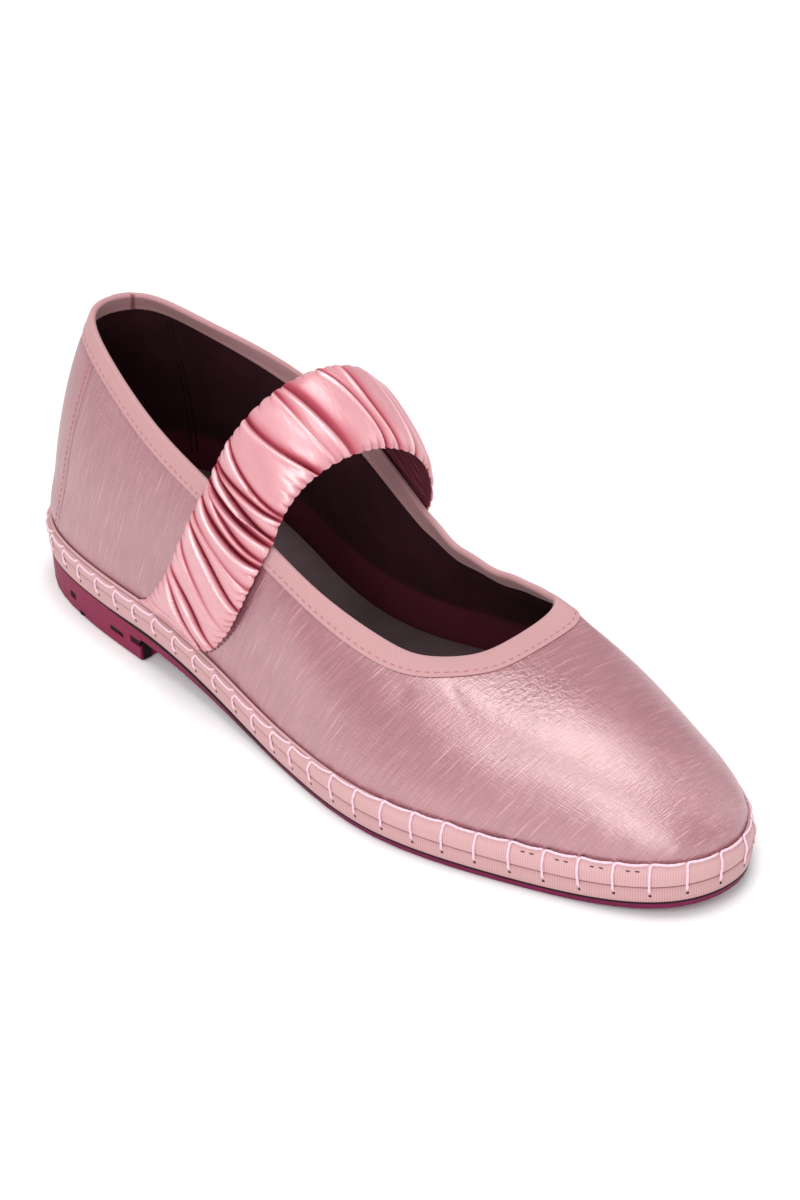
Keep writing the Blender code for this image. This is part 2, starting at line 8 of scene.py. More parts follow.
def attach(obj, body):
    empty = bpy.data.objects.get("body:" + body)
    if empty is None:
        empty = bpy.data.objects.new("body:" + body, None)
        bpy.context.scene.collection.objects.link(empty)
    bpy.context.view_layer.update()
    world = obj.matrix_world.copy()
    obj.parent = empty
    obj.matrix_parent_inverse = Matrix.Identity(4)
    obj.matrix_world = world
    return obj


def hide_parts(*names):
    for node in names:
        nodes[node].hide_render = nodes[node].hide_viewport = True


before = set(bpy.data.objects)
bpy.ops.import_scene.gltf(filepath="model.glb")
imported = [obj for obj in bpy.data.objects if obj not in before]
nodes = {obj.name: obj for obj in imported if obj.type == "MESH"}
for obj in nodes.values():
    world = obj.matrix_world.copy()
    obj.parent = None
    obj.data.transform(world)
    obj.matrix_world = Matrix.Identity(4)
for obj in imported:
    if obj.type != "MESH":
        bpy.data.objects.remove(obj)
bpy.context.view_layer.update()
print("frame:", ", ".join(sorted(nodes)))

# Shoe sizes in millimetres: across is + towards the inner side, along runs from heel to toe
shoe = {
    "heelTop": 11.2, "forefootThickness": 2.4, "breastAlong": 60.0, "shankEnd": 128.0,
    "springStart": 204.0, "toeSpring": 3.6, "midsoleBase": 0.3, "midsoleTop": 4.7,
    "randBase": 5.0, "randTop": 11.0, "upperInset": 2.6, "wall": 1.7, "overlayGap": 0.4,
    "bindingLeaf": 0.7, "bindingWidth": 5.8, "bindingInside": 4.8, "bindingExtra": 1.5,
    "bindingWidens": 115.0, "bindingWidensBy": 40.0, "waistEnd": 105.0, "waistFade": 70.0,
}
outer, inner = -1, 1

# Outline of the sole from above, heel round the outer side to the toe and back: across, along
outlineRows = (
    (2.0, -3.0), (-21.0, 3.5), (-32.4, 31.0), (-36.0, 84.0), (-40.6, 124.0), (-44.1, 164.5),
    (-30.8, 209.5), (-13.3, 241.5), (4.7, 247.0), (21.1, 235.0), (35.6, 199.0), (39.7, 165.0),
    (27.8, 125.5), (22.1, 91.0), (31.8, 32.0), (23.5, 4.5),
)

# Sections of the upper: side, foot along, topline across, along and height, run and rise powers, swell
sectionRows = (
    (outer, -3.0, 1.0, 12.0, 83.4, 1.00, 1.9, -0.4),
    (outer, 6.0, -9.4, 16.8, 83.6, 1.00, 1.9, -0.4),
    (outer, 30.0, -16.5, 32.0, 79.0, 1.00, 2.0, 0.0),
    (outer, 55.0, -21.5, 56.0, 70.0, 1.00, 2.1, 0.0),
    (outer, 80.0, -24.5, 80.0, 64.2, 1.00, 2.2, 0.0),
    (outer, 110.0, -26.5, 107.0, 57.2, 1.05, 2.2, 0.0),
    (outer, 140.0, -26.8, 131.0, 50.0, 1.15, 2.2, 0.0),
    (outer, 168.0, -24.8, 152.0, 45.4, 1.25, 2.2, 0.0),
    (outer, 200.0, -20.5, 164.5, 44.2, 1.35, 2.3, 0.0),
    (outer, 228.0, -11.5, 171.8, 44.2, 1.30, 2.2, 0.0),
    (outer, 247.2, 0.0, 173.5, 44.5, 1.25, 2.1, 0.0),
    (inner, 232.0, 11.6, 172.5, 44.3, 1.18, 1.9, 0.0),
    (inner, 214.0, 18.0, 170.6, 45.0, 1.12, 1.65, 0.0),
    (inner, 200.0, 20.0, 166.6, 45.2, 1.08, 1.55, 0.0),
    (inner, 168.0, 20.8, 154.0, 44.2, 0.90, 1.8, 0.0),
    (inner, 140.0, 19.5, 136.0, 45.0, 0.84, 2.0, 0.0),
    (inner, 115.0, 22.0, 117.0, 49.8, 0.85, 2.2, 0.0),
    (inner, 85.0, 27.5, 88.0, 59.5, 0.90, 2.2, 0.0),
    (inner, 55.0, 27.0, 55.5, 69.0, 1.00, 2.1, 0.0),
    (inner, 30.0, 19.0, 32.5, 76.6, 1.00, 2.0, 0.0),
    (inner, 6.0, 12.5, 17.0, 81.2, 1.00, 1.9, -0.4),
)


def smoothStep(value):
    value = np.clip(value, 0.0, 1.0)
    return value * value * (3.0 - 2.0 * value)


def bell(value):
    return np.exp(-value ** 2)


# A closed cubic spline of period 1 through rows of values: equal slope and bend on both sides of each knot
def closedSpline(knots, values, at):
    spans = np.diff(np.append(knots, knots[0] + 1.0))
    before = np.roll(spans, 1)
    slopes = (np.roll(values, -1, axis=0) - values) / spans[:, None]
    step = np.eye(len(knots))
    matrix = np.diag(2.0 * (before + spans))
    matrix += np.roll(step, 1, axis=1) * spans[:, None] + np.roll(step, -1, axis=1) * before[:, None]
    bend = np.linalg.solve(matrix, 6.0 * (slopes - np.roll(slopes, 1, axis=0)))
    wrapped = np.mod(np.asarray(at, dtype=float) - knots[0], 1.0) + knots[0]
    row = np.clip(np.searchsorted(knots, wrapped, side="right") - 1, 0, len(knots) - 1)
    after = (row + 1) % len(knots)
    span = spans[row][:, None]
    late = (wrapped - knots[row])[:, None] / span
    early = 1.0 - late
    curve = (early ** 3 - early) * bend[row] + (late ** 3 - late) * bend[after]
    return early * values[row] + late * values[after] + curve * span ** 2 / 6.0


# A closed curve through a few points, its knots spaced by the square root of each chord
def smoothLoop(rows, count):
    rows = np.array(rows)
    chords = np.sqrt(np.linalg.norm(np.roll(rows, -1, axis=0) - rows, axis=1))
    knots = np.concatenate(([0.0], np.cumsum(chords)[:-1])) / chords.sum()
    return closedSpline(knots, rows, np.linspace(0.0, 1.0, count, endpoint=False))


# Length along one line of points, or along each line of a row of lines
def pathLength(lines):
    steps = np.linalg.norm(np.diff(lines, axis=-2), axis=-1)
    return np.concatenate((np.zeros(steps.shape[:-1] + (1,)), np.cumsum(steps, axis=-1)), axis=-1)


# Points at lengths along many lines in one interpolation: each line's lengths lie in a lane of their own,
# and no line is as long as its lane
def pointsAlong(lines, lengths, places):
    lane = laneLength * np.arange(len(lines))[:, None]
    knots = (lengths + lane).ravel()
    values = [np.interp(places + lane, knots, lines[:, :, axis].ravel()) for axis in range(3)]
    return np.stack(values, axis=-1)


laneLength = 1000.0
outlineCount = 2000
outlineLoop = smoothLoop(outlineRows, outlineCount)
outlineLoop = np.roll(outlineLoop, -int(outlineLoop[:, 1].argmin()), axis=0)
outlineTangent = np.roll(outlineLoop, -1, axis=0) - np.roll(outlineLoop, 1, axis=0)
outlineTangent /= np.linalg.norm(outlineTangent, axis=1)[:, None]
outlineOutward = np.stack((-outlineTangent[:, 1], outlineTangent[:, 0]), axis=1)
toeIndex = int(outlineLoop[:, 1].argmax())
toeAlong = outlineLoop[:, 1].max()
middleAlong = (outlineLoop[:, 1].min() + toeAlong) / 2.0
middleAcross = (outlineLoop[:, 0].min() + outlineLoop[:, 0].max()) / 2.0
outlineLength = pathLength(np.vstack((outlineLoop, outlineLoop[:1])))[-1]


# Loop position of each point of a dense loop: 0 at the heel, 0.5 at the toe, 1 back at the heel
def positionKnots(loop):
    closed = np.vstack((loop, loop[:1]))
    length = pathLength(closed)
    toe = length[toeIndex]
    back = 0.5 + (length - toe) / (length[-1] - toe) / 2.0
    return np.where(length <= toe, length / toe / 2.0, back), closed


# Across and along values of a dense closed loop at loop positions
def loopValues(knots, closed, positions):
    wrapped = np.mod(positions, 1.0)
    return np.stack([np.interp(wrapped, knots, closed[:, axis]) for axis in (0, 1)], axis=-1)


# Points of the outline, moved inwards by inset, at loop positions
def edgePoints(inset, positions):
    knots, closed = positionKnots(outlineLoop - outlineOutward * inset)
    return loopValues(knots, closed, positions)


# Outward direction in plan at loop positions
def edgeOutward(positions):
    closed = np.vstack((outlineOutward, outlineOutward[:1]))
    return loopValues(positionKnots(outlineLoop)[0], closed, positions)


# Loop position of a place along one side
def loopPosition(side, along):
    knots = positionKnots(outlineLoop)[0]
    if side == outer:
        return np.interp(along, outlineLoop[:toeIndex + 1, 1], knots[:toeIndex + 1])
    closed = np.append(outlineLoop[toeIndex:, 1], outlineLoop[0, 1])
    return np.interp(along, closed[::-1], knots[toeIndex:][::-1])


# Loop positions at even steps of the outline
def evenPositions(count):
    knots, closed = positionKnots(outlineLoop)
    return np.interp(np.arange(count) * outlineLength / count, pathLength(closed), knots)


# Loop positions close together, to measure lines on the wall by
closePositions = np.linspace(0.0, 1.0, 1500)


# Where a loop position lies along the shoe on the outline
def alongAt(positions):
    return edgePoints(0.0, positions)[..., 1]


# How much a place belongs to the heel and waist rather than to the toe
def heelShare(along):
    return 1.0 - smoothStep((along - shoe["waistEnd"]) / shoe["waistFade"])


# Height of the outsole's top: heel, shank sloping down to the forefoot, toe springing up as a square law
def keel(along):
    shank = smoothStep((shoe["shankEnd"] - along) / (shoe["shankEnd"] - shoe["breastAlong"]))
    spring = np.clip((along - shoe["springStart"]) / (toeAlong - shoe["springStart"]), 0.0, None) ** 2
    rise = (shoe["heelTop"] - shoe["forefootThickness"]) * shank
    return shoe["forefootThickness"] + rise + shoe["toeSpring"] * spring


# Waves of the bound edge along the inner side, a sine faded at both ends, and a peak at the throat's corner
toplineLook = {"wave": 0.32, "pitch": 15.0, "first": 112.0, "last": 163.0, "soft": 14.0,
               "peak": 0.9, "peakAlong": 169.3, "peakHalf": 2.6, "sideSharp": 40.0}


def toplineWave(positions, topAlong):
    look = toplineLook
    inside = smoothStep((positions - 0.5) * look["sideSharp"])
    window = smoothStep((topAlong - look["first"]) / look["soft"])
    window = window * smoothStep((look["last"] - topAlong) / look["soft"])
    waves = look["wave"] * np.sin(2.0 * math.pi * topAlong / look["pitch"]) * window
    return inside * (waves + look["peak"] * bell((topAlong - look["peakAlong"]) / look["peakHalf"]))


# Section sizes at loop positions: topline across, along and height, run and rise powers, swell
def sectionsAt(positions):
    knots = np.array([float(loopPosition(row[0], row[1])) for row in sectionRows])
    sizes = closedSpline(knots, np.array([row[2:] for row in sectionRows]), positions)
    sizes[:, 2] += toplineWave(np.mod(positions, 1.0), sizes[:, 1])
    return sizes


# Width of the binding's outer leaf, broader round the throat
def bindingWidth(positions):
    topAlong = sectionsAt(positions)[:, 1:2]
    throat = smoothStep((topAlong - shoe["bindingWidens"]) / shoe["bindingWidensBy"])
    return shoe["bindingWidth"] + shoe["bindingExtra"] * throat


# Points up each line of the wall, and the small steps that its directions are taken over
wallLook = {"points": 121, "bulge": 1.8, "footStep": 0.002, "aroundStep": 0.004, "upStep": 1.0,
            "endPoints": 7}


# Fine lines up the outer face of the upper: from foot to topline on a quarter of a superellipse,
# where the rise is sin to the power 2/rise and the run 1 - cos to the power 2/run
def wallLines(positions):
    look, inset = wallLook, shoe["upperInset"]
    foot = edgePoints(inset, positions)
    ahead, behind = positions + look["footStep"], positions - look["footStep"]
    tangent = edgePoints(inset, ahead) - edgePoints(inset, behind)
    tangent /= np.linalg.norm(tangent, axis=1)[:, None]
    outward = np.stack((-tangent[:, 1], tangent[:, 0]), axis=1)
    sizes = sectionsAt(positions)
    angle = np.linspace(0.0, 1.0, look["points"])[None, :] * math.pi / 2.0
    rise = np.sin(angle) ** (2.0 / sizes[:, 4:5])
    run = 1.0 - np.maximum(np.cos(angle), 0.0) ** (2.0 / sizes[:, 3:4])
    bulge = sizes[:, 5:6] * np.sin(math.pi * np.minimum(rise, 1.0)) * (1.0 - rise) * look["bulge"]
    base = keel(foot[:, 1]) + shoe["randTop"]
    plan = foot[:, None, :] + (sizes[:, 0:2] - foot)[:, None, :] * run[:, :, None]
    plan = plan + outward[:, None, :] * bulge[:, :, None]
    level = base[:, None] + (sizes[:, 2] - base)[:, None] * rise
    lines = np.concatenate((plan, level[:, :, None]), axis=2)
    return lines, pathLength(lines)


def wallLength(positions):
    return wallLines(positions)[1][:, -1:]


# Points of the outer face at loop positions and lengths up the wall; above the topline it goes on straight
def wallGrid(positions, reach):
    lines, lengths = wallLines(positions)
    points = pointsAlong(lines, lengths, np.clip(reach, 0.0, lengths[:, -1:]))
    end = lines[:, -1] - lines[:, -wallLook["endPoints"]]
    end /= np.linalg.norm(end, axis=1)[:, None]
    points += end[:, None, :] * np.maximum(reach - lengths[:, -1:], 0.0)[:, :, None]
    points[:, :, 2] += np.minimum(reach, 0.0)
    return points


# Outward direction of the outer face: up the wall crossed with round the wall
def wallNormals(positions, reach):
    length = wallLength(positions)
    step = wallLook["upStep"]
    low = np.clip(reach - step, 0.0, length - 2.0 * step)
    up = wallGrid(positions, low + 2.0 * step) - wallGrid(positions, low)
    share = np.clip(reach / length, 0.0, 1.0)
    ahead, behind = positions + wallLook["aroundStep"], positions - wallLook["aroundStep"]
    around = wallGrid(ahead, share * wallLength(ahead)) - wallGrid(behind, share * wallLength(behind))
    normal = np.cross(up, around)
    return normal / np.linalg.norm(normal, axis=-1, keepdims=True)


def wallOffset(positions, reach, offset):
    offset = np.broadcast_to(offset, np.shape(reach))
    return wallGrid(positions, reach) + wallNormals(positions, reach) * offset[..., None]


# Shoe millimetres to the frame's metres
def toFrame(points):
    points = np.asarray(points, dtype=float)
    across = points[..., 0] - middleAcross
    return np.stack((across, middleAlong - points[..., 1], points[..., 2]), axis=-1) * 0.001


def cornersOf(values):
    corners = (values[:-1, :-1], values[1:, :-1], values[1:, 1:], values[:-1, 1:])
    return np.stack(corners, axis=2).reshape((-1, 4) + values.shape[2:])


# Corners of a grid's quads; closed directions join their last row or column to the first
def gridQuads(rows, columns, closedRows, closedColumns):
    index = np.arange(rows * columns).reshape(rows, columns)
    if closedRows:
        index = np.vstack((index, index[:1]))
    if closedColumns:
        index = np.hstack((index, index[:, :1]))
    return cornersOf(index)


# Edges that turn by more than the first stay sharp, and a thread's two plies swell it by the second
sharpTurn = math.radians(50.0)
plySwell = 0.13


# A shown piece: quads with their texture corners, any closing polygons, and numbers kept on its points
def makePiece(name, points, quads, materials, stands=(), uv=None, closing=(), marks=None,
              faceSlots=None):
    placed = toFrame(points.reshape(-1, 3))
    corner = placed[quads]
    volume = np.einsum("ij,ij->i", corner[:, 0], np.cross(corner[:, 1], corner[:, 2])).sum()
    volume += np.einsum("ij,ij->i", corner[:, 0], np.cross(corner[:, 2], corner[:, 3])).sum()
    # Closing rings run against the faces they close: none of their edges runs the way of a face's edge
    count = len(placed)
    taken = quads.astype(np.int64) * count + np.roll(quads, -1, axis=1)
    rings = [np.asarray(ring, np.int64) for ring in closing]
    if any(np.isin(ring * count + np.roll(ring, -1), taken).any() for ring in rings[:1] + rings[-1:]):
        rings = [ring[::-1] for ring in rings]
    for ring in rings:
        edge = placed[ring]
        volume += edge[0] @ np.cross(edge, np.roll(edge, -1, axis=0)).sum(axis=0)
    turned = volume < 0.0
    if turned:
        quads = quads[:, ::-1]
    polygons = quads.tolist() + [(ring[::-1] if turned else ring).tolist() for ring in rings]
    mesh = bpy.data.meshes.new(name)
    mesh.from_pydata(placed.tolist(), [], polygons)
    if uv is not None:
        corners = uv[:, ::-1] if turned else uv
        rest = np.zeros((len(mesh.loops) - corners.shape[0] * 4, 2))
        layer = mesh.uv_layers.new(name="cloth")
        layer.data.foreach_set("uv", np.vstack((corners.reshape(-1, 2), rest)).ravel().astype(np.float32))
    for mark, values in (marks or {}).items():
        kept = mesh.attributes.new(mark, "FLOAT", "POINT")
        kept.data.foreach_set("value", np.ravel(values).astype(np.float32))
    for material in materials:
        mesh.materials.append(material)
    if faceSlots is not None:
        rest = np.zeros(len(polygons) - len(faceSlots), np.int32)
        mesh.polygons.foreach_set("material_index", np.concatenate((faceSlots, rest)).astype(np.int32))
    mesh.shade_smooth()
    mesh.set_sharp_from_angle(angle=sharpTurn)
    piece = bpy.data.objects.new(name, mesh)
    bpy.context.scene.collection.objects.link(piece)
    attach(piece, "root")
    if stands:
        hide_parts(*stands)
    print("made", name, len(placed), "points")
    return piece


# Tubes along many paths at once: a ring of sides round each path point, its radius given along the path
# and swelled twice a turn by a twist; reference is a direction across the path
def makeTubes(paths, reference, radius, sides, twist=0.0, flat=1.0):
    tangent = np.gradient(paths, axis=1)
    tangent /= np.linalg.norm(tangent, axis=2, keepdims=True)
    side = np.cross(tangent, reference)
    side /= np.linalg.norm(side, axis=2, keepdims=True)
    lift = np.cross(side, tangent)
    angle = np.arange(sides) * 2.0 * math.pi / sides
    ply = 1.0
    if twist:
        turns = 2.0 * math.pi * pathLength(paths)[:, :, None] / twist
        ply = 1.0 + plySwell * np.cos(2.0 * angle + turns)
    size = (np.asarray(radius)[None, :, None] * ply)[..., None]
    ring = side[:, :, None] * np.cos(angle)[:, None] + lift[:, :, None] * np.sin(angle)[:, None] * flat
    points = paths[:, :, None] + ring * size
    count, places = paths.shape[:2]
    starts = np.arange(count) * places * sides
    one = gridQuads(places, sides, False, True)
    quads = (starts[:, None, None] + one[None]).reshape(-1, 4)
    near = (starts[:, None] + np.arange(sides)).tolist()
    far = (starts[:, None] + (places - 1) * sides + np.arange(sides)[::-1]).tolist()
    return points, quads, near + far


# sRGB hex to linear colour
def hexColour(text):
    parts = np.array([int(text[place:place + 2], 16) for place in (1, 3, 5)]) / 255.0
    linear = np.where(parts <= 0.04045, parts / 12.92, ((parts + 0.055) / 1.055) ** 2.4)
    return (*linear.tolist(), 1.0)


# One node with its settings; each input takes a value or the socket that feeds it
def addNode(tree, kind, inputs=None, **settings):
    made = tree.nodes.new("ShaderNode" + kind)
    for name, value in settings.items():
        setattr(made, name, value)
    for socket, value in (inputs or {}).items():
        if isinstance(value, bpy.types.NodeSocket):
            tree.links.new(value, made.inputs[socket])
        else:
            made.inputs[socket].default_value = value
    return made


# A new material with its shader's constant values
def startMaterial(name, **values):
    material = bpy.data.materials.new(name)
    material.use_nodes = True
    shader = material.node_tree.nodes["Principled BSDF"]
    for socket, value in values.items():
        shader.inputs[socket].default_value = value
    return material, material.node_tree, shader


def mixColours(tree, share, first, second):
    return addNode(tree, "MixRGB", {0: share, 1: first, 2: second}).outputs[0]


# A value mapped from one range to another, clamped
def ramp(tree, value, low, high, most=1.0):
    made = addNode(tree, "MapRange", {"Value": value, "From Min": low, "From Max": high, "To Max": most})
    return made.outputs[0]


def attributeOf(tree, name):
    return addNode(tree, "Attribute", attribute_name=name).outputs["Fac"]


# One sum on sockets or plain values
def reckon(tree, operation, *values):
    return addNode(tree, "Math", dict(enumerate(values)), operation=operation).outputs[0]


def addSockets(tree, first, second):
    return reckon(tree, "ADD", first, second)


def timesSockets(tree, first, second):
    return reckon(tree, "MULTIPLY", first, second)


# Noise in the solid at one size in millimetres
def grainNoise(tree, size, detail):
    place = addNode(tree, "TexCoord").outputs["Object"]
    inputs = {"Vector": place, "Scale": 1000.0 / size, "Detail": detail}
    return addNode(tree, "TexNoise", inputs).outputs["Fac"]


# Noise on the cloth, long one way and wide the other; the map is in units of 100 mm
def clothNoise(tree, long, wide, detail):
    weave = addNode(tree, "UVMap", uv_map="cloth").outputs["UV"]
    stretched = addNode(tree, "Mapping", {"Vector": weave, "Scale": (100.0 / long, 100.0 / wide, 1.0)})
    inputs = {"Vector": stretched.outputs["Vector"], "Scale": 1.0, "Detail": detail}
    return addNode(tree, "TexNoise", inputs, noise_dimensions="2D").outputs["Fac"]


# Slubs: each weft thread is cut into lengths, each with its own random number and a swell that fades as a
# sine to both its ends and both its sides; the cuts of each thread are shifted by up to stagger lengths
def slubStreaks(tree, long, wide, stagger=9.0):
    weave = addNode(tree, "UVMap", uv_map="cloth").outputs["UV"]
    parts = addNode(tree, "SeparateXYZ", {0: weave}).outputs
    threads = timesSockets(tree, parts["Y"], 100.0 / wide)
    thread = reckon(tree, "FLOOR", threads)
    shift = addNode(tree, "TexWhiteNoise", {"W": thread}, noise_dimensions="1D").outputs["Value"]
    lengths = timesSockets(tree, parts["X"], 100.0 / long)
    lengths = addSockets(tree, lengths, timesSockets(tree, shift, stagger))
    cell = addNode(tree, "CombineXYZ", {0: reckon(tree, "FLOOR", lengths), 1: thread}).outputs[0]
    chance = addNode(tree, "TexWhiteNoise", {"Vector": cell}, noise_dimensions="2D").outputs["Value"]
    waves = [reckon(tree, "SINE", timesSockets(tree, reckon(tree, "FRACT", place), math.pi))
             for place in (threads, lengths)]
    return chance, timesSockets(tree, *waves)


def finishMaterial(tree, shader, colour, height, strength, depth, woven=False):
    bump = addNode(tree, "Bump", {"Height": height, "Strength": strength, "Distance": depth * 0.001})
    tree.links.new(colour, shader.inputs["Base Color"])
    tree.links.new(bump.outputs[0], shader.inputs["Normal"])
    if woven:
        tangent = addNode(tree, "Tangent", direction_type="UV_MAP", uv_map="cloth")
        tree.links.new(tangent.outputs[0], shader.inputs["Tangent"])


# Dupioni silk: uneven reeled yarn woven tight, so slubs stand out as thin pale streaks along the weft, across
# the shoe, and the crossed threads stretch the light along the shoe
def makeDupioni():
    look = {
        "shade": "#8B505D", "light": "#9B5F6A", "slub": "#C78A91", "dark": "#774350", "cloud": 26.0,
        "slubLong": 11.0, "slubWide": 0.6, "slubFrom": 0.93, "slubShare": 0.75, "thinBelow": 0.05,
        "thinShare": 0.6, "yarnLong": 9.0, "yarnWide": 0.42, "yarnPale": 0.4, "yarnDeep": 0.45,
        "threadLong": 5.0, "threadWide": 0.5, "threadShare": 0.3, "warpLong": 4.0, "warpWide": 0.5,
        "warpShare": 0.3, "crinkleLong": 2.16, "crinkleWide": 1.2, "crinkleHigh": 6.0,
        "bump": 0.6, "deep": 0.12,
    }
    material, tree, shader = startMaterial("dupioniSilk", **{
        "Roughness": 0.37, "IOR": 2.25, "Specular IOR Level": 0.65, "Specular Tint": hexColour("#FFF1EC"),
        "Anisotropic": 0.35, "Anisotropic Rotation": 0.25, "Sheen Weight": 0.08, "Sheen Roughness": 0.4,
        "Sheen Tint": hexColour("#F4D9DA")})
    chance, swell = slubStreaks(tree, look["slubLong"], look["slubWide"])
    thread = clothNoise(tree, look["threadLong"], look["threadWide"], 2.0)
    warp = clothNoise(tree, look["warpWide"], look["warpLong"], 2.0)
    cloud = clothNoise(tree, look["cloud"], look["cloud"], 2.0)
    yarn, yarnSwell = slubStreaks(tree, look["yarnLong"], look["yarnWide"])
    paleYarn = timesSockets(tree, ramp(tree, yarn, 0.5, 1.0, look["yarnPale"]), yarnSwell)
    deepYarn = timesSockets(tree, ramp(tree, yarn, 0.5, 0.0, look["yarnDeep"]), yarnSwell)
    raised = timesSockets(tree, ramp(tree, chance, look["slubFrom"], 1.0), swell)
    thin = timesSockets(tree, ramp(tree, chance, look["thinBelow"], 0.0), swell)
    base = mixColours(tree, cloud, hexColour(look["shade"]), hexColour(look["light"]))
    threads = ramp(tree, thread, 0.45, 0.7, look["threadShare"])
    fine = mixColours(tree, threads, base, hexColour(look["light"]))
    fine = mixColours(tree, paleYarn, fine, hexColour(look["slub"]))
    fine = mixColours(tree, deepYarn, fine, hexColour(look["dark"]))
    fine = mixColours(tree, timesSockets(tree, thin, look["thinShare"]), fine, hexColour(look["dark"]))
    fine = mixColours(tree, ramp(tree, warp, 0.45, 0.75, look["warpShare"]), fine, hexColour(look["dark"]))
    colour = mixColours(tree, timesSockets(tree, raised, look["slubShare"]), fine, hexColour(look["slub"]))
    crinkles = clothNoise(tree, look["crinkleLong"], look["crinkleWide"], 3.0)
    wrinkled = timesSockets(tree, attributeOf(tree, "crinkle"), look["crinkleHigh"])
    wrinkled = timesSockets(tree, crinkles, wrinkled)
    streaks = addSockets(tree, raised, addSockets(tree, paleYarn, thread))
    height = addSockets(tree, streaks, addSockets(tree, warp, wrinkled))
    finishMaterial(tree, shader, colour, height, look["bump"], look["deep"], True)
    return material


# Grosgrain tape: heavy weft ribs under a fine warp, matt; painted shade makes its rib valleys darker than its
# crests, and the shade mark mixes in a dark red-brown where a piece sets it
def makeGrosgrain(name, crest, valley, mottle):
    look = {"mottle": 6.0, "mottleShare": 0.55, "shade": "#6A2A35", "fuzz": 0.7, "bump": 0.25, "deep": 0.1}
    material, tree, shader = startMaterial(name, **{
        "Roughness": 0.72, "Specular IOR Level": 0.3, "Sheen Weight": 0.25, "Sheen Roughness": 0.5,
        "Sheen Tint": hexColour("#F6DCDC")})
    # Painted shade: rib valleys darker than the crests
    ribbed = mixColours(tree, attributeOf(tree, "rib"), hexColour(valley), hexColour(crest))
    cloud = ramp(tree, grainNoise(tree, look["mottle"], 3.0), 0.35, 0.75, look["mottleShare"])
    clouded = mixColours(tree, cloud, ribbed, hexColour(mottle))
    # The shade mark darkens towards a deep red-brown where a piece sets it
    colour = mixColours(tree, attributeOf(tree, "shade"), clouded, hexColour(look["shade"]))
    finishMaterial(tree, shader, colour, grainNoise(tree, look["fuzz"], 2.0), look["bump"], look["deep"])
    return material


# Waxed sewing thread, two plies twisted
def makeThread(name, pale, deep, roughness):
    material, tree, shader = startMaterial(name, **{
        "Roughness": roughness, "Specular IOR Level": 0.35, "Sheen Weight": 0.15})
    fibre = grainNoise(tree, 0.6, 2.0)
    colour = mixColours(tree, fibre, hexColour(deep), hexColour(pale))
    finishMaterial(tree, shader, colour, fibre, 0.3, 0.1)
    return material


# Satin: long floats lie one way, so it shines in broad soft patches; painted highlight makes it pale on the
# crests, and painted shade deep red in the folds, where it has no gloss
def makeSatin():
    look = {"light": "#D0929A", "pink": "#C07A83", "crest": "#E8B4BB", "valley": "#A03A4A", "fold": "#5E0F1D",
            "gloss": 0.62, "floatWide": 0.6, "floatLong": 9.0, "floatShare": 0.35, "cloudWide": 5.0,
            "crestShare": 0.7, "valleyShare": 0.85, "foldShare": 0.95, "rippleWide": 1.6, "rippleLong": 5.0,
            "rippleHigh": 1.5, "bump": 0.3, "deep": 0.12}
    material, tree, shader = startMaterial("strapSatin", **{
        "Roughness": 0.3, "IOR": 2.15, "Specular IOR Level": 0.5, "Specular Tint": hexColour("#FFF0EE"),
        "Sheen Weight": 0.03, "Sheen Roughness": 0.35, "Sheen Tint": hexColour("#FBDADA"),
        "Anisotropic": 0.25})
    floats = clothNoise(tree, look["floatWide"], look["floatLong"], 2.0)
    cloud = clothNoise(tree, look["cloudWide"], look["floatLong"], 3.0)
    base = mixColours(tree, cloud, hexColour(look["pink"]), hexColour(look["light"]))
    shine = ramp(tree, floats, 0.4, 0.7, look["floatShare"])
    threads = mixColours(tree, shine, base, hexColour(look["light"]))
    # Painted highlight on the crests, then painted shade on the valleys' slopes and deepest in the folds
    crest = timesSockets(tree, attributeOf(tree, "crest"), look["crestShare"])
    crested = mixColours(tree, crest, threads, hexColour(look["crest"]))
    fold = attributeOf(tree, "fold")
    slope = ramp(tree, fold, 0.06, 0.5, look["valleyShare"])
    sloping = mixColours(tree, slope, crested, hexColour(look["valley"]))
    deepest = ramp(tree, fold, 0.45, 0.9, look["foldShare"])
    colour = mixColours(tree, deepest, sloping, hexColour(look["fold"]))
    gloss = ramp(tree, fold, 0.45, 0.0, look["gloss"])
    tree.links.new(gloss, shader.inputs["Specular IOR Level"])
    ripple = clothNoise(tree, look["rippleWide"], look["rippleLong"], 2.0)
    ripple = addSockets(tree, floats, timesSockets(tree, ripple, look["rippleHigh"]))
    finishMaterial(tree, shader, colour, ripple, look["bump"], look["deep"], True)
    return material


# Twill lining and insole cloth: dark matt cotton with diagonal wales, drawn coarser than real so they show
def makeTwill(name, low, high, foot, wale, turn):
    material, tree, shader = startMaterial(name, **{"Roughness": 0.88, "Specular IOR Level": 0.2})
    weave = addNode(tree, "UVMap", uv_map="cloth").outputs["UV"]
    turned = addNode(tree, "Mapping", {"Vector": weave, "Rotation": (0.0, 0.0, math.radians(turn))})
    wales = addNode(tree, "TexWave", {
        "Vector": turned.outputs[0], "Scale": 100.0 / wale / math.pi, "Distortion": 0.6, "Detail": 2.0,
        "Detail Scale": 2.0}).outputs["Fac"]
    both = timesSockets(tree, wales, clothNoise(tree, 12.0, 12.0, 3.0))
    base = mixColours(tree, both, hexColour(low), hexColour(high))
    colour = mixColours(tree, attributeOf(tree, "shade"), base, hexColour(foot))
    finishMaterial(tree, shader, colour, wales, 0.35, 0.15)
    return material
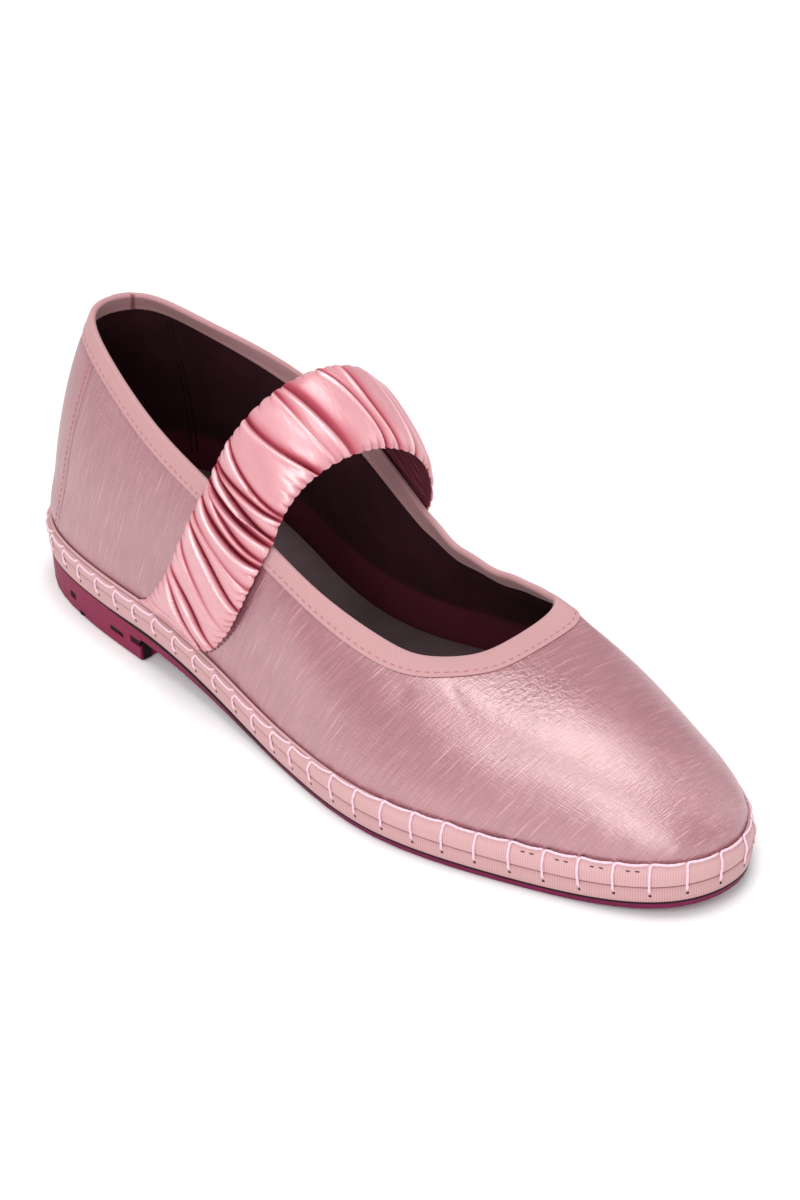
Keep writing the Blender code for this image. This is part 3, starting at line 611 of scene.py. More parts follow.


# Moulded rubber: semi-matt, a fine eroded grain from the mould, paler at the heel than under the forefoot,
# which painted shade darkens; the two colours pass into each other between two places along the frame, in
# metres
def makeRubber():
    look = {"fore": "#65113A", "heel": "#80163F", "worn": "#7A1E49", "wornShare": 0.6, "cloud": 14.0,
            "foreEnd": 0.03, "heelStart": 0.07, "grain": 0.8}
    material, tree, shader = startMaterial("mouldedRubber", **{"Roughness": 0.55, "Specular IOR Level": 0.2})
    place = addNode(tree, "TexCoord").outputs["Object"]
    along = addNode(tree, "SeparateXYZ", {0: place}).outputs["Y"]
    # Painted shade: the forefoot colour is darker than the heel's
    behind = ramp(tree, along, look["foreEnd"], look["heelStart"])
    base = mixColours(tree, behind, hexColour(look["fore"]), hexColour(look["heel"]))
    cloud = ramp(tree, grainNoise(tree, look["cloud"], 4.0), 0.4, 0.8, look["wornShare"])
    colour = mixColours(tree, cloud, base, hexColour(look["worn"]))
    finishMaterial(tree, shader, colour, grainNoise(tree, look["grain"], 2.0), 0.2, 0.1)
    return material


# Nearly black rubber: painted shadow in the gap between wrap and outsole and inside the moulded recesses, and
# the lining's dark seam thread
def makeShadowAndThreadBlack():
    material, tree, shader = startMaterial("shadowAndThreadBlack", **{"Roughness": 0.75, "Specular IOR Level": 0.2})
    grain = grainNoise(tree, 1.2, 2.0)
    colour = mixColours(tree, grain, hexColour("#0C0305"), hexColour("#1F0A10"))
    finishMaterial(tree, shader, colour, grain, 0.2, 0.1)
    return material


dupioniSilk = makeDupioni()
bindingTape = makeGrosgrain("bindingGrosgrain", "#BB9091", "#AD8183", "#B38889")
randTape = makeGrosgrain("randGrosgrain", "#CDA3A4", "#B78B8D", "#C29899")
paleThread = makeThread("blanketThread", "#E8CAD4", "#D5AEBD", 0.5)
pinkThread = makeThread("pinkThread", "#B9747F", "#9E5A67", 0.55)
tapeThread = makeThread("tapeThread", "#B4727B", "#9E5F69", 0.55)
redThread = makeThread("redThread", "#7E3542", "#5A1E2A", 0.6)
# Dark thread of the seam marks at the toe, and the painted shadow of the needle holes
darkThreadAndHoleShadow = makeThread("darkThreadAndHoleShadow", "#2A1318", "#140609", 0.7)
strapSatin = makeSatin()
liningTwill = makeTwill("liningTwill", "#1D080D", "#4C1B26", "#561B2A", 1.0, 35.0)
strapTwill = makeTwill("strapBackTwill", "#55202A", "#8E424D", "#3A1119", 1.0, 0.0)
insoleCloth = makeTwill("insoleCloth", "#463639", "#665458", "#2A1A1E", 0.8, 45.0)
soleRubber = makeRubber()
shadowAndThreadBlack = makeShadowAndThreadBlack()
print("materials:", len(bpy.data.materials))

# Upper: one hollow wall of silk over lining. Points are a function of place round the loop and length up the
# wall; the silk's relief is puckers at the seam, faint swells of the cloth and listed soft dents
upperLook = {
    "rows": 720, "levels": 58, "innerLevels": 20, "footLow": -5.7, "footHigh": -2.5, "silk": 0.85,
    "silkThins": 0.4, "edgeWall": 0.95, "skiveFrom": 14.0, "skiveFade": 12.0,
    "pucker": 0.12, "puckerHigh": 4.0, "swell": 0.12,
    "swellRun": 11.0, "swellLean": 17.0, "swellUp": 13.0, "swellAlong": 29.0,
    "footFade": 1.5, "topFade": 5.0, "footSwell": 1.1, "heelSwell": 0.12, "swellLow": 4.4, "swellStarts": 3.0,
    "swellHigh": 1.0, "swellEnds": 14.0, "crinkleAcross": -8.0, "crinkleAlong": 190.0, "crinkleHalf": 13.0,
}

# Soft troughs and ridges: side, along at the foot, length up the wall, half length, half width, lean, depth
dentRows = (
    (outer, 36.0, 30.0, 26.0, 6.0, 0.25, -0.30),
    (outer, 108.0, 24.0, 22.0, 5.0, 0.35, -0.28),
    (outer, 133.0, 30.0, 18.0, 4.0, 0.35, 0.22),
    (outer, 176.0, 34.0, 16.0, 5.0, 0.0, -0.24),
    (outer, 200.0, 46.0, 14.0, 4.0, -0.2, -0.26),
    (inner, 205.0, 40.0, 18.0, 6.0, 0.0, -0.22),
    (inner, 150.0, 22.0, 16.0, 5.0, 0.2, -0.28),
    (inner, 96.0, 22.0, 20.0, 6.0, 0.2, -0.28),
    (inner, 40.0, 34.0, 24.0, 6.0, 0.2, -0.26),
)

# Blanket stitches round the sole, and the units of the cloth maps for one millimetre
stitchCount = 63
clothScale = 0.01


# How far the silk swells out over the top of the rand, more at the heel than at the toe
def footSwell(along, reach):
    look = upperLook
    most = look["footSwell"] + look["heelSwell"] * heelShare(along)
    starts = smoothStep((reach + look["swellLow"]) / look["swellStarts"])
    return most * starts * (1.0 - smoothStep((reach - look["swellHigh"]) / look["swellEnds"]))


def silkRelief(positions, reach):
    look = upperLook
    place = alongAt(positions)[:, None]
    run = positions[:, None] * outlineLength
    puckers = look["pucker"] * np.exp(-np.maximum(reach, 0.0) / look["puckerHigh"])
    relief = puckers * np.cos(2.0 * math.pi * stitchCount * positions)[:, None]
    around = np.sin(run / look["swellRun"] + reach / look["swellLean"])
    relief = relief + look["swell"] * around * np.sin(reach / look["swellUp"] + place / look["swellAlong"])
    for side, along, up, longHalf, wideHalf, lean, depth in dentRows:
        away = (positions[:, None] - float(loopPosition(side, along))) * outlineLength - lean * (reach - up)
        relief = relief + depth * bell(away / wideHalf) * bell((reach - up) / longHalf)
    below = wallLength(positions) - bindingWidth(positions) - reach
    fade = smoothStep(reach / look["footFade"]) * smoothStep(below / look["topFade"])
    return relief * fade + footSwell(place, reach)


# Cloth coordinates: threads lie across the shoe, so the first runs over it and the second along it,
# slanting down the walls towards the heel, more steeply where the cloth turns down the front of the toe
def clothCoordinates(points):
    look = {"vampHigh": 44.0, "ridgeHalf": 8.0, "most": 40.0, "hang": 0.9, "slant": 0.25, "slantMore": 0.3,
            "waistFrom": 60.0, "waistFade": 80.0, "toeFrom": 225.0, "toeFade": 20.0}
    across, along, height = points[..., 0], points[..., 1], points[..., 2]
    drop = look["vampHigh"] - height
    over = across + np.tanh(across / look["ridgeHalf"]) * np.maximum(drop, -look["most"]) * look["hang"]
    waist = look["slantMore"] * smoothStep((along - look["waistFrom"]) / look["waistFade"])
    toe = look["slantMore"] * smoothStep((along - look["toeFrom"]) / look["toeFade"])
    slant = look["slant"] + waist + toe
    return np.stack((over, along + slant * drop), axis=-1) * clothScale


# The wall is skived thinner towards its topline: 0 below, 1 at the edge
def skived(length, reach):
    return smoothStep((reach - length + upperLook["skiveFrom"]) / upperLook["skiveFade"])


# How far the lining's face lies behind the silk's
def liningDepth(length, reach):
    return shoe["wall"] - (shoe["wall"] - upperLook["edgeWall"]) * skived(length, reach)


def makeUpper():
    look = upperLook
    positions = evenPositions(look["rows"])
    length = wallLength(positions)
    foot = np.tile((look["footLow"], look["footHigh"]), (len(positions), 1))
    outside = np.concatenate((foot, length * np.linspace(0.0, 1.0, look["levels"])), axis=1)
    skin = wallOffset(positions, outside, silkRelief(positions, outside))
    inside = np.concatenate((length * np.linspace(1.0, 0.0, look["innerLevels"]), foot[:, :1]), axis=1)
    back = wallOffset(positions, inside, -look["silk"] + look["silkThins"] * skived(length, inside))
    points = np.concatenate((skin, back), axis=1)
    rows, columns = points.shape[:2]
    cloth = clothCoordinates(points)
    cloth = np.concatenate((cloth, cloth[:1]), axis=0)
    cloth = np.concatenate((cloth, cloth[:, :1]), axis=1)
    crinkle = bell((points[..., 0] - look["crinkleAcross"]) / look["crinkleHalf"])
    crinkle = crinkle * bell((points[..., 1] - look["crinkleAlong"]) / look["crinkleHalf"])
    makePiece("upperSilk", points, gridQuads(rows, columns, True, True), [dupioniSilk],
              ("upper",), uv=cornersOf(cloth), marks={"crinkle": crinkle})


# Lining skin inside the wall, redder and paler in a strip along its foot
def makeLining():
    look = {"rows": 480, "levels": 40, "innerLevels": 8, "rear": 0.95, "rearThins": 0.42, "strip": 9.0,
            "stripShade": 0.8, "swell": 0.25, "swellUp": 9.0, "swellRun": 13.0, "swellBack": 0.1,
            "bindingClear": 0.5, "swellFade": 12.0}
    positions = evenPositions(look["rows"])
    length = wallLength(positions)
    foot = np.full((len(positions), 1), upperLook["footLow"])
    near = np.concatenate((foot, length * np.linspace(0.0, 1.0, look["levels"])), axis=1)
    far = np.concatenate((length * np.linspace(1.0, 0.0, look["innerLevels"]), foot), axis=1)
    around = np.sin(positions[:, None] * outlineLength / look["swellRun"])
    below = length - shoe["bindingInside"] - look["bindingClear"] - near
    swell = look["swell"] * np.sin(near / look["swellUp"]) * around * smoothStep(below / look["swellFade"])
    face = wallOffset(positions, near, -liningDepth(length, near) - np.maximum(swell, -look["swellBack"]))
    rear = wallOffset(positions, far, -look["rear"] + look["rearThins"] * skived(length, far))
    points = np.concatenate((face, rear), axis=1)
    rows, columns = points.shape[:2]
    run = np.arange(rows + 1) * outlineLength / rows
    up = np.concatenate((near.mean(axis=0), far.mean(axis=0), near.mean(axis=0)[:1]))
    cloth = np.stack(np.meshgrid(run, up, indexing="ij"), axis=-1) * clothScale
    strip = look["stripShade"] * (1.0 - smoothStep((near - look["strip"] + 1.0) / 2.0))
    shade = np.concatenate((strip, np.zeros(far.shape)), axis=1)
    makePiece("upperLining", points, gridQuads(rows, columns, True, True), [liningTwill],
              uv=cornersOf(cloth), marks={"shade": shade})


makeUpper()
makeLining()

# Collar binding: thin grosgrain folded over the topline. The profile runs up outside, over a half ellipse and
# down inside on the lining's face; each rib adds a cosine to its face along the topline.
# At the centre back one end of the tape laps over the other, and painted shadow marks a notch inside.
# The fold counts as far up from both edges, so that no edge's thinning or seam reaches it
bindingLook = {
    "rib": 0.65, "ribHigh": 0.045, "half": 0.19, "gap": 0.06, "edgeHalf": 0.15, "edgeBy": 0.7,
    "foldSteps": 9, "foldHigh": 0.4, "foldUp": 99.0, "bead": 0.05, "beadUp": 0.45, "beadHalf": 0.25,
    "stitchUp": 1.4, "stitchSink": 0.06, "stitchHalf": 0.4, "lap": 6.5, "lapHigh": 0.12, "lapShade": 0.9,
    "lapShadeHalf": 0.9, "inShade": 0.22,
}
leafShares = np.array((0.0, 0.03, 0.07, 0.12, 0.17, 0.22, 0.28, 0.4, 0.55, 0.7, 0.85, 1.0))


def makeBinding():
    look = bindingLook
    run = pathLength(wallGrid(closePositions, wallLength(closePositions))[:, 0])
    rows = int(run[-1] / look["rib"]) * 2
    places = np.arange(rows) * run[-1] / rows
    positions = np.interp(places, run, closePositions)
    length = wallLength(positions)
    turn = np.linspace(0.0, math.pi, look["foldSteps"])[1:-1]
    width = bindingWidth(positions)
    outside = leafShares[None, :] * width
    inside = np.tile(leafShares[::-1] * shoe["bindingInside"], (rows, 1))
    up = np.concatenate((outside, np.full((rows, len(turn)), look["foldUp"]), inside), axis=1)
    over = np.tile(np.sin(turn) * look["foldHigh"], (rows, 1))
    reach = np.concatenate((outside - width, over, inside - shoe["bindingInside"]), axis=1)
    ones, zeros = np.ones(len(leafShares)), np.zeros(len(leafShares))
    lean = np.concatenate((ones, np.cos(turn), -ones))
    rise = np.concatenate((zeros, np.sin(turn), zeros))
    out = look["gap"] + look["half"]
    back = -liningDepth(length, length + np.minimum(reach, 0.0)) - out
    centre = (out + back) / 2.0 + (out - back) / 2.0 * lean
    rib = 0.5 + 0.5 * np.cos(np.arange(rows) * math.pi)[:, None]
    thin = look["half"] - (look["half"] - look["edgeHalf"]) * (1.0 - smoothStep(up / look["edgeBy"]))
    lap = (places > run[-1] - look["lap"])[:, None] * look["lapHigh"]
    bead = look["bead"] * bell((up - look["beadUp"]) / look["beadHalf"])
    thick = thin + look["ribHigh"] * rib + lap + bead
    thick = thick - look["stitchSink"] * bell((up - look["stitchUp"]) / look["stitchHalf"])
    under = slice(None, None, -2)
    reachAll = np.concatenate((reach + rise * thick, (reach - rise * thin)[:, under]), axis=1)
    offsetAll = np.concatenate((centre + lean * thick, (centre - lean * thin)[:, under]), axis=1)
    points = wallOffset(positions, length + reachAll, offsetAll)
    columns = points.shape[1]
    # The inner leaf is darker, partly its own duller colour and partly painted shade; painted shadow marks
    # the notch by the lap
    within = smoothStep(0.5 - np.concatenate((lean, lean[under])))[None, :]
    notch = bell((places - run[-1] + look["lap"]) / look["lapShadeHalf"])[:, None]
    shade = np.maximum(look["inShade"] * within, look["lapShade"] * notch * within)
    makePiece("collarBinding", points, gridQuads(rows, columns, True, True), [bindingTape],
              ("collar_binding",), marks={"rib": np.tile(rib, (1, columns)), "shade": shade})


makeBinding()

# Bands round the sole: a ribbed profile of inset and height carried round the outline
bandLook = {
    "rib": 0.65, "ribHigh": 0.06, "creaseDown": 0.85, "creaseHalf": 0.2, "creaseDeep": 0.38,
    "creaseShade": 0.55, "points": 40,
    "densePoints": 600, "closer": 5.0, "closerHalf": 0.5, "closerInset": 1.2,
    "facePoints": 200, "faceInset": 1.15, "ribInset": 1.4, "ribFade": 0.6, "lower": 1.5, "lowerFrom": 7.0,
    "lowerFade": 3.5, "footHigh": 5.3, "footFade": 0.4, "footShade": 0.35,
}
randRows = ((0.25, 4.78), (0.0, 5.05), (-0.26, 6.5), (-0.34, 7.9), (-0.1, 9.0), (0.45, 10.15), (1.05, 10.95),
            (1.42, 10.75), (1.5, 9.5), (2.1, 6.5), (2.0, 4.85))


# Two points of the band for each rib, one on its crest and one in its valley
def bandRows():
    rows = int(outlineLength / bandLook["rib"]) * 2
    return evenPositions(rows), 0.5 + 0.5 * np.cos(np.arange(rows) * math.pi)


def bandPoints(positions, inset, height):
    edge = edgePoints(0.0, positions)
    plan = edge[:, None, :] - edgeOutward(positions)[:, None, :] * inset[:, :, None]
    level = keel(plan[:, :, 1]) + height
    return np.concatenate((plan, level[:, :, None]), axis=2)


# The rand's profile, its points set closer round the crease
def closeProfile():
    look, count = bandLook, bandLook["points"]
    dense = smoothLoop(randRows, look["densePoints"])
    crease = shoe["randTop"] - look["creaseDown"]
    near = bell((dense[:, 1] - crease) / look["closerHalf"]) * (dense[:, 0] < look["closerInset"])
    total = np.concatenate(([0.0], np.cumsum(1.0 + look["closer"] * near)))
    places = np.interp(np.arange(count) / count * total[-1], total, np.arange(len(total)))
    return dense[np.minimum(places.astype(int), len(dense) - 1)]


# The part of the rand's profile that faces outwards, from its foot up
def faceProfile():
    face = smoothLoop(randRows, bandLook["facePoints"])
    face = face[face[:, 0] < bandLook["faceInset"]]
    return face[np.argsort(face[:, 1])]


randProfile = closeProfile()
randFace = faceProfile()


# Rand: at heel and waist it is lower and a crease, darkened by painted shade, sets off a rolled lip along its
# top;
# at the toe painted shade darkens its foot where it meets the wrap
def makeRand():
    look = bandLook
    positions, rib = bandRows()
    along = alongAt(positions)[:, None]
    height = np.tile(randProfile[None, :, 1], (len(positions), 1))
    heel = heelShare(along)
    facing = smoothStep((look["ribInset"] - randProfile[:, 0]) / look["ribFade"])
    crease = bell((height - shoe["randTop"] + look["creaseDown"]) / look["creaseHalf"]) * heel * facing
    inset = randProfile[None, :, 0] - look["ribHigh"] * rib[:, None] * facing + look["creaseDeep"] * crease
    settled = height - look["lower"] * heel * smoothStep((height - look["lowerFrom"]) / look["lowerFade"])
    points = bandPoints(positions, inset, settled)
    rows, columns = points.shape[:2]
    # Painted shade at the foot where it meets the wrap, and in the crease
    foot = smoothStep((look["footHigh"] - height) / look["footFade"]) * look["footShade"] * (1.0 - heel)
    shade = foot + look["creaseShade"] * crease
    made = makePiece("randBand", points, gridQuads(rows, columns, True, True), [randTape],
                     ("rand",), marks={"rib": np.tile(rib[:, None], (1, columns)), "shade": shade})


# Columns across a flat layer between the paired points of its edge, following a height function
def capGrid(loop, start, columns, heightAt):
    count = len(loop)
    half = count // 2
    left = loop[1:half]
    right = loop[:half:-1]
    share = np.linspace(0.0, 1.0, columns)[1:-1]
    plan = left[:, None, :2] + (right - left)[:, None, :2] * share[None, :, None]
    points = np.concatenate((plan, heightAt(plan[:, :, 1])[:, :, None]), axis=2)
    index = start["points"] + np.arange(points.shape[0] * points.shape[1]).reshape(points.shape[:2])
    near = start["loop"] + np.arange(1, half)
    far = start["loop"] + np.arange(count - 1, half, -1)
    index = np.hstack((near[:, None], index, far[:, None]))
    heel = [start["loop"]] + index[0].tolist()
    toe = [start["loop"] + half] + index[-1][::-1].tolist()
    return points.reshape(-1, 3), cornersOf(index), [heel, toe]


# A slab from rows of loop points bottom to top, closed by a grid below and above
def makeSlab(name, walls, bottomAt, topAt, columns, material, stands, marks):
    levels, count = walls.shape[:2]
    points = walls.reshape(-1, 3)
    low, lowQuads, lowEnds = capGrid(walls[0], {"points": len(points), "loop": 0}, columns, bottomAt)
    points = np.vstack((points, low))
    top = {"points": len(points), "loop": (levels - 1) * count}
    high, highQuads, highEnds = capGrid(walls[-1], top, columns, topAt)
    points = np.vstack((points, high))
    quads = np.vstack((gridQuads(levels, count, False, True), lowQuads, highQuads[:, ::-1]))
    closing = lowEnds + [ring[::-1] for ring in highEnds]
    kept = {mark: np.concatenate((np.ravel(values), np.zeros(len(points) - values.size)))
            for mark, values in marks.items()}
    return makePiece(name, points, quads, [material], stands, closing=closing, marks=kept,
                     uv=points[quads][:, :, :2] * clothScale)


# Midsole wrap: the same ribbed tape, its upper and lower edges rounded by quarter circles. It is darker all
# over, more towards the toe, and painted shade darkens its top edge under the rand and its foot at the gap to
# the outsole
def makeMidsole():
    look = {"corner": 0.2, "cornerPoints": 6, "columns": 7, "heelLess": 0.7, "shade": 0.06, "toeShade": 0.07,
            "topShade": 0.25, "topFrom": 4.4, "baseShade": 0.2, "baseTo": 0.6, "shadeFade": 0.25}
    positions, rib = bandRows()
    corner = look["corner"]
    turn = np.linspace(-math.pi / 2.0, 0.0, look["cornerPoints"])
    lowHeight = shoe["midsoleBase"] + corner + corner * np.sin(turn)
    low = np.stack((corner - corner * np.cos(turn), lowHeight), axis=1)
    high = np.stack((low[::-1, 0], shoe["midsoleBase"] + shoe["midsoleTop"] - low[::-1, 1]), axis=1)
    profile = np.vstack((low, ((-0.12, 1.7), (-0.14, 2.5), (-0.12, 3.3)), high))
    inset = profile[:, None, 0] - bandLook["ribHigh"] * rib[None, :]
    height = np.tile(profile[:, 1:], (1, len(positions)))
    walls = np.transpose(bandPoints(positions, inset.T, height.T), (1, 0, 2))
    # Painted shade at the top edge under the rand and at the foot; the rest only darker, more towards the toe
    toe = 1.0 - look["heelLess"] * heelShare(alongAt(positions))[None, :]
    top = look["topShade"] * toe * smoothStep((height - look["topFrom"]) / look["shadeFade"])
    base = look["baseShade"] * smoothStep((look["baseTo"] - height) / look["shadeFade"])
    shade = look["shade"] + look["toeShade"] * toe + top + base
    makeSlab("midsoleWrap", walls, lambda along: keel(along) + shoe["midsoleBase"],
             lambda along: keel(along) + shoe["midsoleTop"], look["columns"], randTape,
             ("midsole",), {"rib": np.tile(rib, (len(profile), 1)), "shade": shade})


makeRand()
makeMidsole()

# Blanket stitch: each stitch climbs from a needle hole in the midsole wrap, bowed back towards the heel at
# the rear of the shoe and straight at the toe, bends at the thread line and runs on to the next. Its two ends
# sink into the bands, and its holes, legs and tops stray a little at random
stitchLook = {
    "radius": 0.36, "sides": 10, "twist": 1.7, "flat": 0.8, "legPoints": 18, "bendPoints": 8, "runPoints": 16,
    "holeHigh": 2.9, "holeStray": 0.25, "legStray": 0.45, "topStray": 0.15, "dropToe": 0.02, "dropHeel": 2.75,
    "bend": 0.8, "bow": 1.0, "bowToe": 0.12, "over": 0.2, "short": 1.4, "sag": 0.2, "lift": 0.3, "sink": 0.85,
    "sinkShare": 0.06, "liftFrom": 9.0, "liftFade": 2.0, "faceUp": 0.15, "wrapInset": -0.1, "lowerFrom": 6.6,
    "lowerFade": 2.6,
}


# How far below the rand's top the blanket thread runs: lower at heel and waist, at the very top round the toe
def threadDrop(along):
    return stitchLook["dropToe"] + stitchLook["dropHeel"] * heelShare(along)


# Inset of the sole's edge at a height above the outsole: the wrap below, the rand, lowered at the heel, above
def edgeInset(height, along):
    look = stitchLook
    lowered = heelShare(along) * smoothStep((height - look["lowerFrom"]) / look["lowerFade"])
    rand = np.interp(height + bandLook["lower"] * lowered, randFace[:, 1], randFace[:, 0])
    return np.where(height < shoe["randBase"], look["wrapInset"], rand)


# Random strays of each stitch, up to a most either way
def strays(seeds, most):
    return seeds.uniform(-most, most, stitchCount)[:, None]


def stitchPaths():
    look = stitchLook
    seeds = np.random.default_rng(7)
    start = evenPositions(stitchCount)
    pitch = outlineLength / stitchCount
    leg = np.linspace(0.0, 1.0, look["legPoints"])
    turn = np.linspace(0.0, math.pi / 2.0, look["bendPoints"])[1:]
    run = np.linspace(0.0, 1.0, look["runPoints"])[1:]
    heel = heelShare(alongAt(start))[:, None]
    lean = strays(seeds, look["legStray"])
    hole = look["holeHigh"] + strays(seeds, look["holeStray"])
    top = shoe["randTop"] - threadDrop(alongAt(start))[:, None] + strays(seeds, look["topStray"])
    bow = look["bowToe"] + (look["bow"] - look["bowToe"]) * heel
    bend = look["bend"]
    legAlong = lean * (1.0 - leg) - bow * np.sin(math.pi * leg)
    legHigh = hole + (top - bend - hole) * leg
    turnAlong = np.tile(bend * (1.0 - np.cos(turn)), (stitchCount, 1))
    turnHigh = top - bend + bend * np.sin(turn)
    runAlong = bend + (pitch - bend + look["over"] - look["short"] * heel) * run
    runHigh = top + (np.roll(top, -1, axis=0) - top) * run - look["sag"] * np.sin(math.pi * run)
    along = np.hstack((legAlong, turnAlong, runAlong))
    height = np.hstack((legHigh, turnHigh, runHigh))
    share = np.linspace(0.0, 1.0, along.shape[1])
    ending = look["sinkShare"]
    sink = 1.0 - smoothStep(share / ending) + smoothStep((share - 1.0 + ending) / ending)
    lift = np.broadcast_to(look["lift"] - look["sink"] * sink, along.shape)
    flat = (start[:, None] + along / outlineLength).ravel()
    outward = edgeOutward(flat)
    inset = edgeInset(height.ravel(), alongAt(flat)) - lift.ravel()
    plan = edgePoints(0.0, flat) - outward * inset[:, None]
    rise = np.clip((height - look["liftFrom"]) / look["liftFade"], 0.0, 1.0) * lift
    level = keel(plan[:, 1]) + (height + rise).ravel()
    paths = np.column_stack((plan, level)).reshape(along.shape + (3,))
    facing = np.column_stack((outward, np.full(len(outward), look["faceUp"]))).reshape(along.shape + (3,))
    return paths, facing, start, hole[:, 0], lean[:, 0]


# Short dark plugs set in the band at loop positions and heights, their outer ends narrower: painted shadow of
# open holes
def makeHoles(name, at, height, radius):
    outward = edgeOutward(at)
    depth = np.array((0.5, 0.0, -0.14))
    narrowing = np.array((1.0, 1.0, 0.55))
    inset = edgeInset(height, alongAt(at))[:, None] + depth[None, :]
    plan = edgePoints(0.0, at)[:, None] - outward[:, None] * inset[:, :, None]
    level = np.tile((keel(plan[:, 0, 1]) + height)[:, None], (1, len(depth)))
    paths = np.concatenate((plan, level[:, :, None]), axis=2)
    upwards = np.broadcast_to(np.array((0.0, 0.0, 1.0)), paths.shape)
    points, quads, ends = makeTubes(paths, upwards, radius * narrowing, 8)
    makePiece(name, points, quads, [darkThreadAndHoleShadow], closing=ends)


# Loop positions of the legs between two places along the outer side
def toeLegs(first, last):
    legs = evenPositions(stitchCount)
    along = alongAt(legs)
    return legs[(legs < 0.5) & (along > first) & (along < last)]


# Needle holes, as painted shadow, at the foot of each leg, and above the bends where the toe's outer side
# pulls them open
def makeStitches():
    look, holes = stitchLook, {"ahead": 0.15, "down": 0.45, "radius": 0.52}
    paths, facing, start, hole, lean = stitchPaths()
    radius = np.full(paths.shape[1], look["radius"])
    points, quads, ends = makeTubes(paths, facing, radius, look["sides"], look["twist"], look["flat"])
    makePiece("blanketStitch", points, quads, [paleThread], closing=ends)
    at = start + (lean + holes["ahead"]) / outlineLength
    makeHoles("needleHoles", at, hole - holes["down"], holes["radius"])
    pulls = {"first": 198.0, "last": 226.0, "ahead": 0.9, "up": 0.1, "radius": 0.62}
    pulled = toeLegs(pulls["first"], pulls["last"])
    high = shoe["randTop"] - threadDrop(alongAt(pulled)) + pulls["up"]
    makeHoles("pulledHoles", pulled + pulls["ahead"] / outlineLength, high, pulls["radius"])


makeStitches()


# Rows of small machine stitches: each is a short tube bowed off the surface, given by its two ends, that
# narrows to both and lies partly sunk
def stitchRow(name, starts, finishes, facing, look, material):
    narrowing = np.array((0.45, 0.95, 1.0, 0.95, 0.45))
    sunk = 0.6 * look["radius"]
    share = np.linspace(0.0, 1.0, len(narrowing))
    paths = starts[:, None] + (finishes - starts)[:, None] * share[None, :, None]
    paths = paths + facing[:, None] * (look["bow"] * np.sin(math.pi * share) - sunk)[None, :, None]
    across = np.broadcast_to(facing[:, None], paths.shape)
    points, quads, ends = makeTubes(paths, across, look["radius"] * narrowing, 6)
    makePiece(name, points, quads, [material], closing=ends)


# Machine stitches along a line on the wall, given by loop positions, lengths up and an offset off the face
def wallStitches(name, positions, reach, offset, look, material):
    line = wallOffset(positions, reach[:, None], offset)[:, 0]
    normal = wallNormals(positions, reach[:, None])[:, 0] * np.sign(np.ravel(offset))[:, None]
    following = np.gradient(line, axis=0)
    half = following / np.linalg.norm(following, axis=1)[:, None] * look["length"] / 2.0
    stitchRow(name, line - half, line + half, normal, look, material)


# One row of stitches round the binding, near the edge of its outer leaf
def makeBindingSeam():
    look = {"pitch": 2.5, "length": 1.6, "radius": 0.18, "bow": 0.08, "offset": 0.44}
    edge = wallLength(closePositions) - bindingWidth(closePositions)
    length = pathLength(wallGrid(closePositions, edge)[:, 0])
    count = int(length[-1] / look["pitch"])
    at = np.interp(np.arange(count) * length[-1] / count, length, closePositions)
    reach = (wallLength(at) - bindingWidth(at))[:, 0] + bindingLook["stitchUp"]
    wallStitches("bindingStitches", at, reach, look["offset"], look, tapeThread)


# Marks of the hidden seam under the thread on the toe's outer side: two dashes between one leg and the next
def makeRandMarks():
    look = {"first": 196.0, "last": 232.0, "places": (0.4, 0.66), "down": 1.35, "half": 0.6, "out": 0.1,
            "radius": 0.18, "bow": 0.05}
    legs = toeLegs(look["first"], look["last"])
    at = np.sort(np.concatenate([legs + place / stitchCount for place in look["places"]]))
    height = shoe["randTop"] - threadDrop(alongAt(at)) - look["down"]
    outward = edgeOutward(at)
    plan = edgePoints(0.0, at) - outward * (edgeInset(height, alongAt(at)) - look["out"])[:, None]
    middle = np.column_stack((plan, keel(plan[:, 1]) + height))
    facing = np.column_stack((outward, np.zeros(len(at))))
    half = np.column_stack((-outward[:, 1], outward[:, 0], np.zeros(len(at)))) * look["half"]
    stitchRow("randMarks", middle - half, middle + half, facing, look, darkThreadAndHoleShadow)


makeBindingSeam()
makeRandMarks()

# Heel counter: a panel round the back whose edges thin down to the silk; points are a function of side share
# and height share, and it keeps the relief of the silk under it
counterLook = {
    "footAlong": 15.0, "topAlong": 24.0, "thick": 0.2, "edge": 0.08, "under": 0.03, "columns": 120,
    "levels": 34, "trim": 0.3, "sideSharp": 16.0, "endSharp": 30.0, "stitchIn": 2.2, "stitchUp": 0.12,
}


def counterPlace(side, up):
    along = counterLook["footAlong"] + (counterLook["topAlong"] - counterLook["footAlong"]) * up
    place = loopPosition(side, along)
    return place if side == outer else place - 1.0


# Length up the wall at a share of the counter's height, trimmed at foot and top
def counterReach(positions, up):
    trim = counterLook["trim"]
    return trim + ((wallLength(positions) - bindingWidth(positions))[:, 0] - 2.0 * trim) * up


